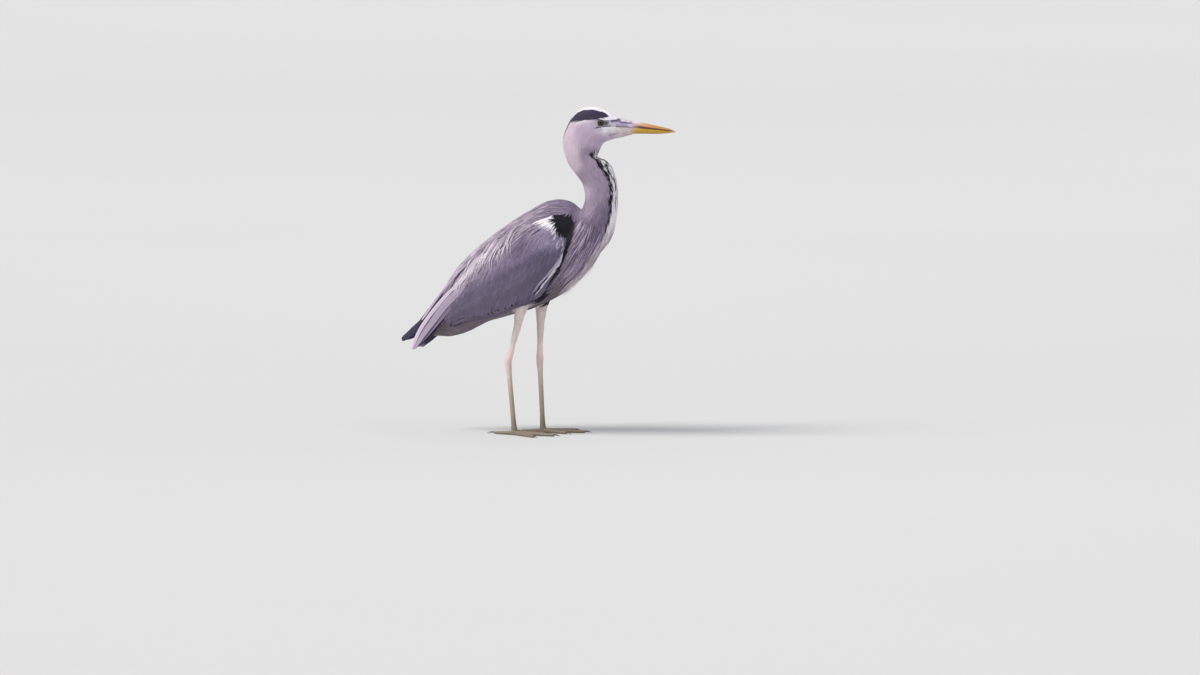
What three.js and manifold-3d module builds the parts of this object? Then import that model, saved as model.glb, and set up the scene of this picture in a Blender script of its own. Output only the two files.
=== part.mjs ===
// A grey heron standing at rest, as a life-size still model.
// Millimetres, +Z up, +X the way the bird faces, +Y its left side, floor at Z = 0.
// Every part of the body is a loft: rings carried along the body, each ring an oval
// between two points of the outline. Neighbours are parted by thin cuts.
import * as THREE from 'three';
import { mergeVertices } from 'three/addons/utils/BufferGeometryUtils.js';
import Module from 'manifold-3d';

const wasm = await Module();
wasm.setup();

// ---------------------------------------------------------------- driving dimensions

const GAP = 0.3; // clear space left between neighbouring parts
const FLOOR = 0;

const BILL = { base: 175, tip: 304, tipHeight: 656.6, mouthGap: 0.35 };
const EYE = { x: 141, z: 674.6, side: 14.2, radius: 6.8 };
const WING = { thickness: 5, sides: 12, steps: 13 };
const TAIL = { thickness: 7, halfWidth: 25, arch: 12, slope: 49 };
const PRIMARY = { halfWidth: 3.6, side: 14.4 };
const CREST = { thickness: 0.9, halfWidth: 2.2, side: 3.6 };

// Each leg: the hip where the feathered thigh leaves the belly, the ankle and the foot.
const ANKLE_HEIGHT = 155;
const LEGS = {
  right: {
    side: -37, yaw: -6, thighTop: [-27, 296], knee: [-37.5, 240], ankle: [-60, ANKLE_HEIGHT], foot: [-46, 9],
  },
  left: {
    side: 37, yaw: 8, thighTop: [-7, 296], knee: [-10, 240], ankle: [-12, ANKLE_HEIGHT], foot: [-5, 9],
  },
};
const SHANK = { radius: 6.2, low: 5.6 };
const ANKLE = { radius: 8.2, side: 7.2 };
const TARSUS = { radius: 5.2, side: 4.6 };
const TOES = {
  middle: { angle: 0, length: 92, radius: 4.6, claw: 15 },
  inner: { angle: 31, length: 66, radius: 4.3, claw: 14 },
  outer: { angle: -34, length: 76, radius: 4.3, claw: 13 },
  hind: { angle: 172, length: 50, radius: 4.2, claw: 19 },
};

const SIDES = ['right', 'left'];
const PLUMAGE = { grey: 0x85798f, pale: 0xb3a3b5, white: 0xe6dde4, dark: 0x2a2538 };
const HORN = { yellow: 0xc79a2a, brown: 0xc09060, claw: 0x4a4038 };
const SKIN = { leg: 0xc3a795, eye: 0xd9b52f };

// ---------------------------------------------------------------- solids

const vector = (x = 0, y = 0, z = 0) => new THREE.Vector3(x, y, z);

/** A section between two points of the side outline, reaching `side` to left and right. */
function section(top, bottom, side, power = 2, y = 0) {
  const centre = vector((top[0] + bottom[0]) / 2, y, (top[1] + bottom[1]) / 2);
  const reach = vector((top[0] - bottom[0]) / 2, 0, (top[1] - bottom[1]) / 2);
  return { centre, reach, across: vector(0, side, 0), bow: vector(0, 0, 0), power };
}

/** Sections at even steps on smooth curves through the given ones, all of them grown by `grow`. */
function smoothSections(stations, steps, grow) {
  const track = (key) => new THREE.CatmullRomCurve3(stations.map((station) => station[key]));
  const tracks = { centre: track('centre'), reach: track('reach'), across: track('across'), bow: track('bow') };
  const result = [];
  for (let step = 0; step <= steps; step += 1) {
    const at = step / steps;
    const place = at * (stations.length - 1);
    const before = stations[Math.floor(place)];
    const after = stations[Math.ceil(place)];
    const reach = tracks.reach.getPoint(at);
    const across = tracks.across.getPoint(at);
    reach.setLength(reach.length() + grow);
    across.setLength(across.length() + grow);
    result.push({
      centre: tracks.centre.getPoint(at),
      reach,
      across,
      bow: tracks.bow.getPoint(at),
      power: THREE.MathUtils.lerp(before.power, after.power, place % 1),
    });
  }
  const ends = [result[0], result[steps]];
  ends[0].centre.addScaledVector(tracks.centre.getTangent(0), -grow);
  ends[1].centre.addScaledVector(tracks.centre.getTangent(1), grow);
  return result;
}

/** The point of a section at an angle round it. */
function sectionPoint({ centre, reach, across, bow, power }, angle) {
  const squared = (value) => Math.sign(value) * Math.abs(value) ** (2 / power);
  const along = squared(Math.cos(angle));
  const beside = squared(Math.sin(angle));
  return centre.clone()
    .addScaledVector(reach, along)
    .addScaledVector(across, beside)
    .addScaledVector(bow, 1 - along * along);
}

function signedVolume(points, triangles) {
  let volume = 0;
  for (const [a, b, c] of triangles) volume += points[a].dot(points[b].clone().cross(points[c])) / 6;
  return volume;
}

function solidOf(points, triangles) {
  const facing = signedVolume(points, triangles) < 0
    ? triangles.map(([a, b, c]) => [a, c, b])
    : triangles;
  return new wasm.Manifold(new wasm.Mesh({
    numProp: 3,
    vertProperties: new Float32Array(points.flatMap((point) => point.toArray())),
    triVerts: new Uint32Array(facing.flat()),
  }));
}

/** A closed solid through the sections, its two ends capped with a fan. */
function loft(stations, { sides = 16, steps = 12, grow = 0 } = {}) {
  const rings = smoothSections(stations, steps, grow);
  const points = rings.flatMap((ring) => (
    Array.from({ length: sides }, (_, index) => sectionPoint(ring, (index / sides) * Math.PI * 2))
  ));
  const triangles = [];
  for (let ring = 0; ring < steps; ring += 1) {
    for (let side = 0; side < sides; side += 1) {
      const next = (side + 1) % sides;
      const [a, b] = [ring * sides + side, ring * sides + next];
      triangles.push([a, b, b + sides], [a, b + sides, a + sides]);
    }
  }
  const last = steps * sides;
  for (let side = 1; side < sides - 1; side += 1) {
    triangles.push([0, side + 1, side], [last, last + side, last + side + 1]);
  }
  return solidOf(points, triangles);
}

/** A solid of a three.js geometry, turned and placed by a matrix. */
function solidFrom(geometry, matrix = new THREE.Matrix4()) {
  geometry.deleteAttribute('normal');
  geometry.deleteAttribute('uv');
  const merged = mergeVertices(geometry.applyMatrix4(matrix), 1e-4);
  const place = merged.getAttribute('position');
  const points = Array.from({ length: place.count }, (_, index) => vector().fromBufferAttribute(place, index));
  const triangles = [];
  for (let corner = 0; corner < merged.index.count; corner += 3) {
    const [a, b, c] = [0, 1, 2].map((offset) => merged.index.getX(corner + offset));
    if (a !== b && b !== c && c !== a) triangles.push([a, b, c]);
  }
  return solidOf(points, triangles);
}

/** All the space to the left of a line drawn in the side view, half a gap clear of it. */
function beyond(from, to) {
  const size = 3000;
  const along = vector(to[0] - from[0], 0, to[1] - from[1]).normalize();
  const outward = vector(-along.z, 0, along.x);
  const centre = vector(from[0], 0, from[1]).addScaledVector(outward, size / 2 + GAP / 2);
  const matrix = new THREE.Matrix4().makeBasis(along, vector(0, 1, 0), outward).setPosition(centre);
  return solidFrom(new THREE.BoxGeometry(size, size, size), matrix);
}

/** The two sides of one cut, each half a gap clear of it. */
function cut(from, to) {
  return { above: beyond(from, to), below: beyond(to, from) };
}

const aboveFloor = beyond([0, FLOOR - GAP / 2], [1, FLOOR - GAP / 2]);

const heron = new THREE.Group();
heron.name = 'grey_heron';

/** Adds one solid to the model as a named mesh with its own material. */
function addPart(name, solid, color, roughness = 0.85) {
  const { vertProperties, triVerts } = solid.getMesh();
  const geometry = new THREE.BufferGeometry();
  geometry.setAttribute('position', new THREE.BufferAttribute(new Float32Array(vertProperties), 3));
  geometry.setIndex(new THREE.BufferAttribute(new Uint32Array(triVerts), 1));
  geometry.computeVertexNormals();
  const mesh = new THREE.Mesh(geometry, new THREE.MeshStandardMaterial({ color, roughness, metalness: 0 }));
  mesh.name = name;
  heron.add(mesh);
}

/** Sections of the mirrored part: the same, with left and right changed over. */
function mirrored(stations, side) {
  const flip = side === 'left' ? -1 : 1;
  const turn = ({ x, y, z }) => vector(x, y * flip, z);
  return stations.map(({ centre, reach, across, bow, power }) => ({
    centre: turn(centre), reach: turn(reach), across: turn(across), bow: turn(bow), power,
  }));
}

// ---------------------------------------------------------------- head, neck and breast

/** From the base of the bill over the head, down the neck and inside the breast. */
const NECK_LINE = [
  section([178, 683], [178, 642], 9.8),
  section([168, 689], [169, 639.8], 13),
  section([154, 697.5], [156, 635.8], 17),
  section([137, 704.5], [145, 631.5], 20),
  section([117, 708], [138.5, 624], 22),
  section([95, 703.5], [134.5, 615], 23.5),
  section([76, 689.5], [131.5, 608], 24.5),
  section([61.5, 664], [129, 602], 25),
  section([52.5, 638], [129, 598], 25),
  section([54, 611], [134, 596.5], 25),
  section([64, 583], [147, 594], 25),
  section([80, 562], [161.5, 580], 25),
  section([94, 545], [170, 557], 25.5),
  section([99.5, 528], [175, 530], 26),
  section([101.5, 508], [175, 503], 27.5),
  section([93, 484], [172, 474], 34),
  section([66, 462], [166, 440], 46),
  section([28, 436], [151, 413], 56),
  section([-8, 404], [136, 391], 60),
  section([-30, 366], [120, 362], 57),
  section([-44, 330], [97, 337], 46),
  section([-40, 305], [66, 315], 27),
];

/** The back and belly, from inside the neck's root to the root of the tail. */
const TRUNK_LINE = [
  section([99, 474], [104, 408], 26),
  section([92, 487], [98, 352], 42),
  section([74, 502], [76, 322], 55),
  section([48, 508.5], [49, 301], 64, 2.1),
  section([16, 502.5], [22, 287], 70, 2.15),
  section([-22, 483], [-8, 273.5], 73, 2.2),
  section([-60, 460.5], [-44, 262], 73, 2.15),
  section([-100, 432], [-80, 250.5], 70, 2.1),
  section([-140, 401], [-118, 239], 62, 2.1),
  section([-174, 369], [-150, 221.5], 51, 2.05),
  section([-200, 337], [-179, 209.5], 38, 2),
  section([-216, 305], [-203, 204.5], 26),
  section([-226, 266], [-221, 205], 17),
  section([-240, 224], [-241, 205], 7),
];

const neckSolid = (grow = 0) => loft(NECK_LINE, { sides: 16, steps: 40, grow });
const trunkSolid = (grow = 0) => loft(TRUNK_LINE, { sides: 18, steps: 20, grow });

const faceCut = cut([BILL.base, 700], [BILL.base, 600]);
const headCut = cut([60, 664], [136, 614]);
const upperNeckCut = cut([60, 586], [140, 600]);
const middleNeckCut = cut([90, 529], [180, 530]);
const lowerNeckCut = cut([88, 492], [175, 455]);
const breastCut = cut([30, 284], [92, 500]);

// ---------------------------------------------------------------- bill and eyes

/** The top of the bill, the mouth and the underside at a distance out from the face. */
const BILL_LINE = [
  { x: 175, top: 683.8, mouth: 666.2, bottom: 641.4, side: 11 },
  { x: 190, top: 682, mouth: 666, bottom: 645.4, side: 9.8 },
  { x: 208, top: 679.2, mouth: 665.2, bottom: 650.2, side: 8.5 },
  { x: 228, top: 675.8, mouth: 663.9, bottom: 651.6, side: 7.2 },
  { x: 250, top: 671.6, mouth: 662.2, bottom: 651.6, side: 5.9 },
  { x: 270, top: 667.8, mouth: 660.6, bottom: 652.4, side: 4.6 },
  { x: 287, top: 664.4, mouth: 659.2, bottom: 654.2, side: 3.2 },
  { x: 298, top: 660.9, mouth: 657.8, bottom: 655, side: 1.9 },
];

function billSolid(half) {
  const lift = BILL.mouthGap / 2;
  const edge = (spot) => (half === 'upper' ? [spot.top, spot.mouth + lift] : [spot.mouth - lift, spot.bottom]);
  const stations = BILL_LINE.map((spot) => {
    const [high, low] = edge(spot);
    return section([spot.x, high], [spot.x, low], spot.side, 2.3);
  });
  const end = BILL.tipHeight + (half === 'upper' ? 0.6 : -0.6);
  const reach = half === 'upper' ? BILL.tip : BILL.tip - 1.5;
  stations.push(section([reach, end + 0.35], [reach, end - 0.35], 0.4));
  return loft(stations, { sides: 10, steps: 12 });
}

function eyeball(side, grow) {
  const y = side === 'right' ? -EYE.side : EYE.side;
  const matrix = new THREE.Matrix4().makeTranslation(EYE.x, y, EYE.z);
  return solidFrom(new THREE.SphereGeometry(EYE.radius + grow, 12, 8).rotateX(Math.PI / 2), matrix);
}

// ---------------------------------------------------------------- wings, flight feathers and tail

/** A folded wing between its upper and lower edge, bowed out from the flank. */
function wingSection(top, bottom, [topSide, middleSide, bottomSide], thickness = WING.thickness) {
  const station = section(top, bottom, thickness, 2, -(topSide + bottomSide) / 2);
  station.reach.y = (bottomSide - topSide) / 2;
  station.bow.y = (topSide + bottomSide) / 2 - middleSide;
  return station;
}

const WING_LINE = [
  wingSection([74, 414], [74.5, 402], [56, 57, 56], 1.5),
  wingSection([69, 436], [72, 384], [54, 63, 52], 4),
  wingSection([54, 464], [58, 364], [56, 71, 52]),
  wingSection([26, 475], [35, 338], [54, 78, 55]),
  wingSection([-8, 465], [8, 306], [54, 83, 60]),
  wingSection([-46, 443], [-28, 284], [53, 84, 63]),
  wingSection([-86, 414], [-72, 268], [51, 83, 64]),
  wingSection([-124, 381], [-112, 256], [44, 79, 62]),
  wingSection([-158, 352], [-148, 244.5], [36, 70, 57]),
  wingSection([-186, 322], [-176, 234], [26, 58, 50], 4),
  wingSection([-205, 292], [-195, 230], [20, 46, 42], 3),
  wingSection([-210, 272], [-204, 240], [26, 38, 36], 1.5),
];

const wingSolid = (side, grow = 0) => (
  loft(mirrored(WING_LINE, side), { sides: WING.sides, steps: WING.steps, grow })
);

/** A blade of flight feathers, arched across, with its middle line in the side view. */
function bladeSection([x, z], slope, halfWidth, thickness, arch, y = 0) {
  const angle = THREE.MathUtils.degToRad(slope);
  const normal = vector(-Math.sin(angle), 0, Math.cos(angle));
  return {
    centre: vector(x, y, z).addScaledVector(normal, -arch),
    reach: vector(0, halfWidth, 0),
    across: normal.clone().multiplyScalar(thickness),
    bow: normal.clone().multiplyScalar(arch),
    power: 2,
  };
}

/** A tail section: its middle, the turn of the feathers there and its share of the tail's sizes. */
function tailSection(middle, turn, width, thickness, arch) {
  return bladeSection(
    middle,
    TAIL.slope + turn,
    TAIL.halfWidth * width,
    TAIL.thickness * thickness,
    TAIL.arch * arch,
  );
}

const TAIL_LINE = [
  tailSection([-199, 287], 0, 0.8, 1, 0.6),
  tailSection([-219, 271], 0, 0.92, 1, 1),
  tailSection([-241, 249], 0, 1, 1, 1),
  tailSection([-262, 222], 6, 1, 0.85, 1),
  tailSection([-276, 197], 10, 0.9, 0.6, 0.8),
  tailSection([-284, 179], 14, 0.55, 0.25, 0.4),
];

/** A section of one wing's folded primaries, standing on edge beside the tail's middle. */
function primarySection(top, bottom, width) {
  return section(top, bottom, PRIMARY.halfWidth * width, 2.2, -PRIMARY.side);
}

const PRIMARY_LINE = [
  primarySection([-194, 320], [-190, 304], 0.9),
  primarySection([-218, 301], [-209, 286], 1),
  primarySection([-240, 277], [-228, 264], 1),
  primarySection([-262, 248], [-246, 236], 1),
  primarySection([-281, 226], [-262, 211], 0.95),
  primarySection([-296, 209], [-274, 193], 0.85),
  primarySection([-302, 197], [-283, 183], 0.6),
  primarySection([-297, 184], [-290, 178.5], 0.3),
];

const tailSolid = (grow = 0) => loft(TAIL_LINE, { sides: 12, steps: 8, grow });
const primarySolid = (side, grow = 0) => loft(mirrored(PRIMARY_LINE, side), { sides: 10, steps: 7, grow });

// ---------------------------------------------------------------- plumes

/** The long loose feathers that hang from the base of the neck over the breast. */
const BREAST_PLUME_LINE = [
  section([151, 411], [144, 415], 12),
  section([143, 396], [127, 402], 23),
  section([130, 373], [108, 383], 27),
  section([116, 350], [93, 360], 26),
  section([99, 328], [78, 338], 23),
  section([80, 309], [66, 319], 17),
  section([59, 291], [53, 297], 6),
];
const breastPlumeSolid = (grow = 0) => loft(BREAST_PLUME_LINE, { sides: 12, steps: 9, grow });

/** One of the two long black plumes that lie down the nape. */
const CREST_LINE = [
  bladeSection([71, 686], 52, CREST.halfWidth * 0.8, CREST.thickness, 0, -CREST.side),
  bladeSection([63, 671], 64, CREST.halfWidth, CREST.thickness, 0, -CREST.side),
  bladeSection([55, 652], 72, CREST.halfWidth * 0.9, CREST.thickness, 0, -CREST.side),
  bladeSection([50.3, 633], 86, CREST.halfWidth * 0.7, CREST.thickness * 0.8, 0, -CREST.side),
  bladeSection([51, 616], 94, CREST.halfWidth * 0.4, CREST.thickness * 0.6, 0, -CREST.side),
];
const crestSolid = (side) => loft(mirrored(CREST_LINE, side), { sides: 8, steps: 7 });

// ---------------------------------------------------------------- legs and feet

/** A round limb between named stops of [x, z, half depth, half width]. */
function limb(stops, y, { sides = 10, steps = 6, grow = 0 } = {}) {
  const stations = stops.map(([x, z, depth, width]) => section([x - depth, z], [x + depth, z], width, 2, y));
  return loft(stations, { sides, steps, grow });
}

function thighSolid({ side, thighTop, knee }, grow = 0) {
  const middle = [(thighTop[0] + knee[0]) / 2, (thighTop[1] + knee[1]) / 2];
  return limb([
    [thighTop[0], thighTop[1] + 6, 25, 20],
    [thighTop[0], thighTop[1] - 12, 19, 16],
    [middle[0], middle[1], 13, 11.5],
    [knee[0], knee[1], 8.4, 7.8],
    [knee[0] + (knee[0] - middle[0]) * 0.3, knee[1] - 9, 7, 6.8],
  ], side, { sides: 12, steps: 8, grow });
}

function shankSolid({ side, knee, ankle }) {
  const lean = (knee[0] - ankle[0]) / (knee[1] - ankle[1]);
  const top = knee[1] - 9 - GAP;
  return limb([
    [ankle[0] + lean * (top - ankle[1]), top, SHANK.radius, SHANK.low],
    [ankle[0] + lean * 40, ankle[1] + 40, SHANK.radius, SHANK.low],
    [ankle[0] + lean * 18, ankle[1] + 18, ANKLE.radius * 0.86, ANKLE.side * 0.9],
    [ankle[0] + lean * 8, ankle[1] + 8, ANKLE.radius, ANKLE.side],
  ], side);
}

function tarsusSolid({ side, ankle, foot }) {
  const lean = (ankle[0] - foot[0]) / (ankle[1] - foot[1]);
  const at = (height) => foot[0] + lean * (height - foot[1]);
  const top = ankle[1] + 8 - GAP;
  return limb([
    [at(top) + 0.8, top, ANKLE.radius, ANKLE.side],
    [at(ankle[1] - 6), ankle[1] - 6, ANKLE.radius * 0.9, ANKLE.side * 0.92],
    [at(ankle[1] - 26), ankle[1] - 26, TARSUS.radius * 1.08, TARSUS.side],
    [at(ankle[1] / 2), ankle[1] / 2, TARSUS.radius, TARSUS.side],
    [at(26), 26, TARSUS.radius * 1.05, TARSUS.side],
    [at(11), 11, TARSUS.radius * 1.35, TARSUS.side * 1.3],
  ], side, { steps: 8 });
}

/** The way a toe points over the floor, as a unit vector. */
function toeHeading(leg, toe) {
  const outward = leg.side < 0 ? 1 : -1;
  const angle = THREE.MathUtils.degToRad(leg.yaw + toe.angle * outward);
  return vector(Math.cos(angle), Math.sin(angle), 0);
}

/** A section of a toe or claw, upright across its heading. */
function toeSection(leg, toe, distance, height, width, tall) {
  const heading = toeHeading(leg, toe);
  return {
    centre: vector(leg.foot[0], leg.side, height).addScaledVector(heading, distance),
    reach: vector(0, 0, tall),
    across: vector(-heading.y, heading.x, 0).multiplyScalar(width),
    bow: vector(0, 0, 0),
    power: 2,
  };
}

function toeSolid(leg, toe) {
  const spot = (share, height, size) => (
    toeSection(leg, toe, toe.length * share, height, toe.radius * size, toe.radius * size)
  );
  return loft([
    spot(-0.05, 5.4, 1.1),
    spot(0.12, 4.6, 1.12),
    spot(0.4, 3.7, 0.98),
    spot(0.7, 3.2, 0.9),
    spot(0.94, 2.9, 0.8),
    spot(1, 2.9, 0.55),
  ], { sides: 8, steps: 5 });
}

function footSolid(leg) {
  let foot = limb([
    [leg.foot[0], 10.5 - GAP, TARSUS.radius * 1.35, TARSUS.side * 1.3],
    [leg.foot[0], 5, TARSUS.radius * 1.5, TARSUS.side * 1.5],
    [leg.foot[0], -1, TARSUS.radius * 1.5, TARSUS.side * 1.5],
  ], leg.side, { steps: 3 });
  for (const toe of Object.values(TOES)) foot = foot.add(toeSolid(leg, toe));
  return foot.intersect(aboveFloor);
}

function clawSolid(leg, toe) {
  const start = toe.length + GAP;
  const spot = (share, height, size) => (
    toeSection(leg, toe, start + toe.claw * share, height, 1.9 * size, 2.3 * size)
  );
  return loft([
    spot(0, 3.2, 1),
    spot(0.35, 3.5, 0.85),
    spot(0.7, 2.8, 0.55),
    spot(1, 1.2, 0.2),
  ], { sides: 6, steps: 4 }).intersect(aboveFloor);
}

// ---------------------------------------------------------------- assembly

const neckWhole = neckSolid();
const plumes = breastPlumeSolid();
const plumeRoom = breastPlumeSolid(GAP);
const tailRoom = tailSolid(GAP);
const thighRoom = SIDES.map((side) => thighSolid(LEGS[side], GAP));
const eyeRoom = SIDES.map((side) => eyeball(side, GAP));

let head = neckWhole.intersect(headCut.above);
for (const room of eyeRoom) head = head.subtract(room);
head = head.intersect(faceCut.below);
addPart('head', head, PLUMAGE.white);
addPart('bill_upper', billSolid('upper').intersect(faceCut.above), HORN.brown, 0.45);
addPart('bill_lower', billSolid('lower').intersect(faceCut.above), HORN.yellow, 0.45);

addPart('neck_upper', neckWhole.intersect(headCut.below).intersect(upperNeckCut.above), PLUMAGE.pale);
addPart('neck_middle', neckWhole.intersect(upperNeckCut.below).intersect(middleNeckCut.above), PLUMAGE.pale);
addPart('neck_lower', neckWhole.intersect(middleNeckCut.below).intersect(lowerNeckCut.above), PLUMAGE.pale);

let body = neckWhole.intersect(lowerNeckCut.below);
body = body.add(trunkSolid().subtract(neckSolid(GAP).intersect(lowerNeckCut.above)));
for (const room of [plumeRoom, tailRoom, ...thighRoom]) body = body.subtract(room);
addPart('breast', body.intersect(breastCut.below), PLUMAGE.pale);
addPart('trunk', body.intersect(breastCut.above), PLUMAGE.grey);
addPart('breast_plumes', plumes, PLUMAGE.white);

const bodyRoom = trunkSolid(GAP).add(neckSolid(GAP));
const tail = tailSolid();
addPart('tail', tail, PLUMAGE.pale);

for (const side of SIDES) {
  const leg = LEGS[side];
  addPart(`eye_${side}`, eyeball(side, 0), SKIN.eye, 0.1);
  addPart(`crest_plume_${side}`, crestSolid(side).subtract(neckSolid(GAP)), PLUMAGE.dark);
  addPart(`wing_${side}`, wingSolid(side).subtract(bodyRoom).subtract(tailRoom), PLUMAGE.grey);
  addPart(
    `primaries_${side}`,
    primarySolid(side).subtract(bodyRoom).subtract(tailRoom).subtract(wingSolid(side, GAP)),
    PLUMAGE.dark,
  );
  addPart(`thigh_${side}`, thighSolid(leg), PLUMAGE.white);
  addPart(`shank_${side}`, shankSolid(leg), SKIN.leg, 0.6);
  addPart(`tarsus_${side}`, tarsusSolid(leg), SKIN.leg, 0.6);
  addPart(`foot_${side}`, footSolid(leg), SKIN.leg, 0.6);
  for (const [name, toe] of Object.entries(TOES)) {
    addPart(`claw_${name}_${side}`, clawSolid(leg, toe), HORN.claw, 0.4);
  }
}

export default heron;
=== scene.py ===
"""A life-size grey heron: skin, feathers, bill, eyes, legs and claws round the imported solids."""

import math

import bmesh
import bpy
import numpy as np
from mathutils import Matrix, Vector
from mathutils.bvhtree import BVHTree


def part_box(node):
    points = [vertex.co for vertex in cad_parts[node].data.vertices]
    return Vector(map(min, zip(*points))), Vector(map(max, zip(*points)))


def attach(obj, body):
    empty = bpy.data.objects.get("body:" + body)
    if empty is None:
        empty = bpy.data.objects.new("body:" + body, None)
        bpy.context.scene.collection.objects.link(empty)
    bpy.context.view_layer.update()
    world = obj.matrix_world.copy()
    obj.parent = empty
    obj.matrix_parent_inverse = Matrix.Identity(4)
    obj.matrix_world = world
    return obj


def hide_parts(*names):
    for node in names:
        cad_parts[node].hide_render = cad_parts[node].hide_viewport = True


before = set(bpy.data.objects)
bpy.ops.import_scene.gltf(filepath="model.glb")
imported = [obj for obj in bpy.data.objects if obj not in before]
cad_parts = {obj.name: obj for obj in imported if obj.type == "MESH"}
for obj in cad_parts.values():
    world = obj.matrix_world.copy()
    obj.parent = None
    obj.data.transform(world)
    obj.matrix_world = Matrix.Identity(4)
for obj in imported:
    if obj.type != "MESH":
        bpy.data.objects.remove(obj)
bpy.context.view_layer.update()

MM = 0.001
SIDES = (("right", -1.0), ("left", 1.0))
FLESH = (
    "head", "neck_upper", "neck_middle", "neck_lower", "breast", "trunk",
    "wing_right", "wing_left", "thigh_right", "thigh_left",
)
# Distances from the midline in mm: clear of the body, about on its side, and the wing's inside.
OUTSIDE = 140.0
FLANK = 60
WING_SIDE = 26
random = np.random.default_rng(17)

# ---------------------------------------------------------------- colours
# Eight-bit screen colours, named for what they are on the bird.
WHITE = (240, 236, 242)
PALE = (202, 184, 198)
NECK_GREY = (152, 136, 156)
CHEEK = (186, 168, 190)
THROAT = (198, 182, 202)
CHIN = (212, 202, 204)
BREAST_GREY = (122, 108, 132)
MANTLE_GREY = (130, 117, 140)
BACK_PALE = (188, 171, 190)
WING_GREY = (106, 95, 118)
WING_BLUE = (104, 96, 124)
BELLY_GREY = (112, 101, 110)
# VENT is darker than the undertail's own pale grey: partly painted shade.
VENT = (124, 113, 121)
SILVER = (214, 200, 216)
CREAM = (228, 214, 210)
INK = (22, 19, 30)
CAP = (50, 46, 68)
INDIGO = (58, 55, 80)
SLATE = (88, 80, 104)


def linear(colour):
    """A screen colour of 0 to 255 as linear light."""
    c = np.asarray(colour, float) / 255
    return np.where(c <= 0.04045, c / 12.92, ((c + 0.055) / 1.055) ** 2.4)


def mixed(a, b, share):
    """Colours a and b mixed by share, for one share or one for each point."""
    share = np.asarray(share, float)[..., None]
    return a * (1 - share) + b * share


def layered(colour, *layers):
    """A colour with layers painted over it in turn, each a screen colour and its share."""
    for shade, share in layers:
        colour = mixed(colour, linear(shade), share)
    return colour


# ---------------------------------------------------------------- the lie of the coat
# Seen from the side, in mm: x, z, and the way the feathers point there.
LIE = np.array([
    (170, 660, -1, 0), (175, 680, -1, 0.1), (150, 700, -1, 0.3), (112, 705, -1, -0.1),
    (75, 688, -0.7, -0.7), (58, 655, -0.25, -0.97), (130, 650, -0.9, -0.4),
    (135, 625, -0.5, -0.85), (110, 640, -0.6, -0.8), (60, 630, 0, -1), (90, 610, 0.1, -1),
    (70, 590, 0.45, -0.9), (120, 600, 0.5, -0.87), (90, 560, 0.55, -0.83),
    (140, 575, 0.6, -0.8), (100, 530, 0.15, -1), (165, 550, 0.25, -0.97),
    (105, 500, -0.1, -1), (170, 500, 0, -1), (95, 480, -0.35, -0.93),
    (168, 460, -0.15, -0.98), (150, 420, -0.45, -0.9), (130, 390, -0.5, -0.86),
    (100, 350, -0.62, -0.78), (60, 340, -0.7, -0.72), (40, 300, -0.85, -0.5),
    (60, 500, -0.9, -0.1), (20, 495, -0.95, -0.3), (-30, 475, -0.85, -0.5),
    (-100, 425, -0.8, -0.6), (-160, 375, -0.72, -0.7), (-200, 330, -0.6, -0.8),
    (60, 440, -0.55, -0.8), (40, 400, -0.5, -0.86), (0, 380, -0.4, -0.92),
    (-40, 340, -0.35, -0.94), (-90, 310, -0.38, -0.92), (-140, 270, -0.5, -0.87),
    (-180, 290, -0.55, -0.83), (0, 280, -1, -0.05), (-120, 255, -0.95, -0.3),
    (-180, 215, -0.95, -0.15), (-20, 260, -0.2, -0.98), (-32, 270, -0.2, -0.98),
    (-4, 269, -0.15, -0.98), (-40, 255, -0.2, -0.98), (0, 258, -0.15, -0.98),
], float)
# x, z, then the feathers' length, width, spacing and standing height there, in mm.
COAT = np.array([
    (165, 675, 4, 0.9, 1.05, 0.15), (150, 697, 9, 1.15, 1.2, 0.2), (112, 705, 14, 1.5, 1.5, 0.22),
    (75, 688, 17, 1.6, 1.6, 0.28), (135, 655, 9, 1.2, 1.2, 0.2), (110, 670, 12, 1.45, 1.4, 0.22),
    (160, 648, 8, 1.1, 1.1, 0.2), (130, 625, 14, 1.5, 1.6, 0.26), (62, 650, 17, 1.7, 1.7, 0.3),
    (85, 615, 19, 1.7, 1.8, 0.34), (100, 560, 21, 1.75, 1.9, 0.45), (140, 560, 18, 1.6, 1.8, 0.6),
    (168, 550, 15, 1.8, 1.8, 1.1), (110, 490, 26, 1.8, 2.2, 0.9), (165, 490, 22, 2.0, 2.2, 1.2),
    (110, 440, 34, 2.0, 2.5, 1.3), (100, 380, 38, 2.2, 2.8, 1.6), (60, 320, 36, 2.4, 3.0, 1.6),
    (70, 445, 20, 2.3, 2.6, 1.1), (60, 500, 20, 2.0, 2.3, 0.8), (0, 495, 28, 2.4, 2.8, 1.0),
    (-80, 430, 38, 3.0, 3.5, 1.3), (-160, 370, 44, 3.4, 4.0, 1.5), (-200, 310, 42, 4, 4.4, 1.6),
    (45, 410, 14, 3.5, 2.9, 0.8), (0, 440, 18, 4.0, 3.4, 0.9), (-20, 380, 22, 4.6, 4.0, 1.1),
    (-40, 330, 28, 5.4, 5, 1.4), (-130, 320, 34, 6, 5.6, 1.4), (0, 285, 26, 2.4, 2.9, 1.5),
    (-110, 245, 36, 2.8, 3.4, 1.8), (-180, 215, 36, 2.8, 3.4, 1.6), (-20, 262, 12, 1.7, 1.9, 0.7),
    (-20, 245, 8, 1.4, 1.6, 0.4),
], float)
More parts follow.
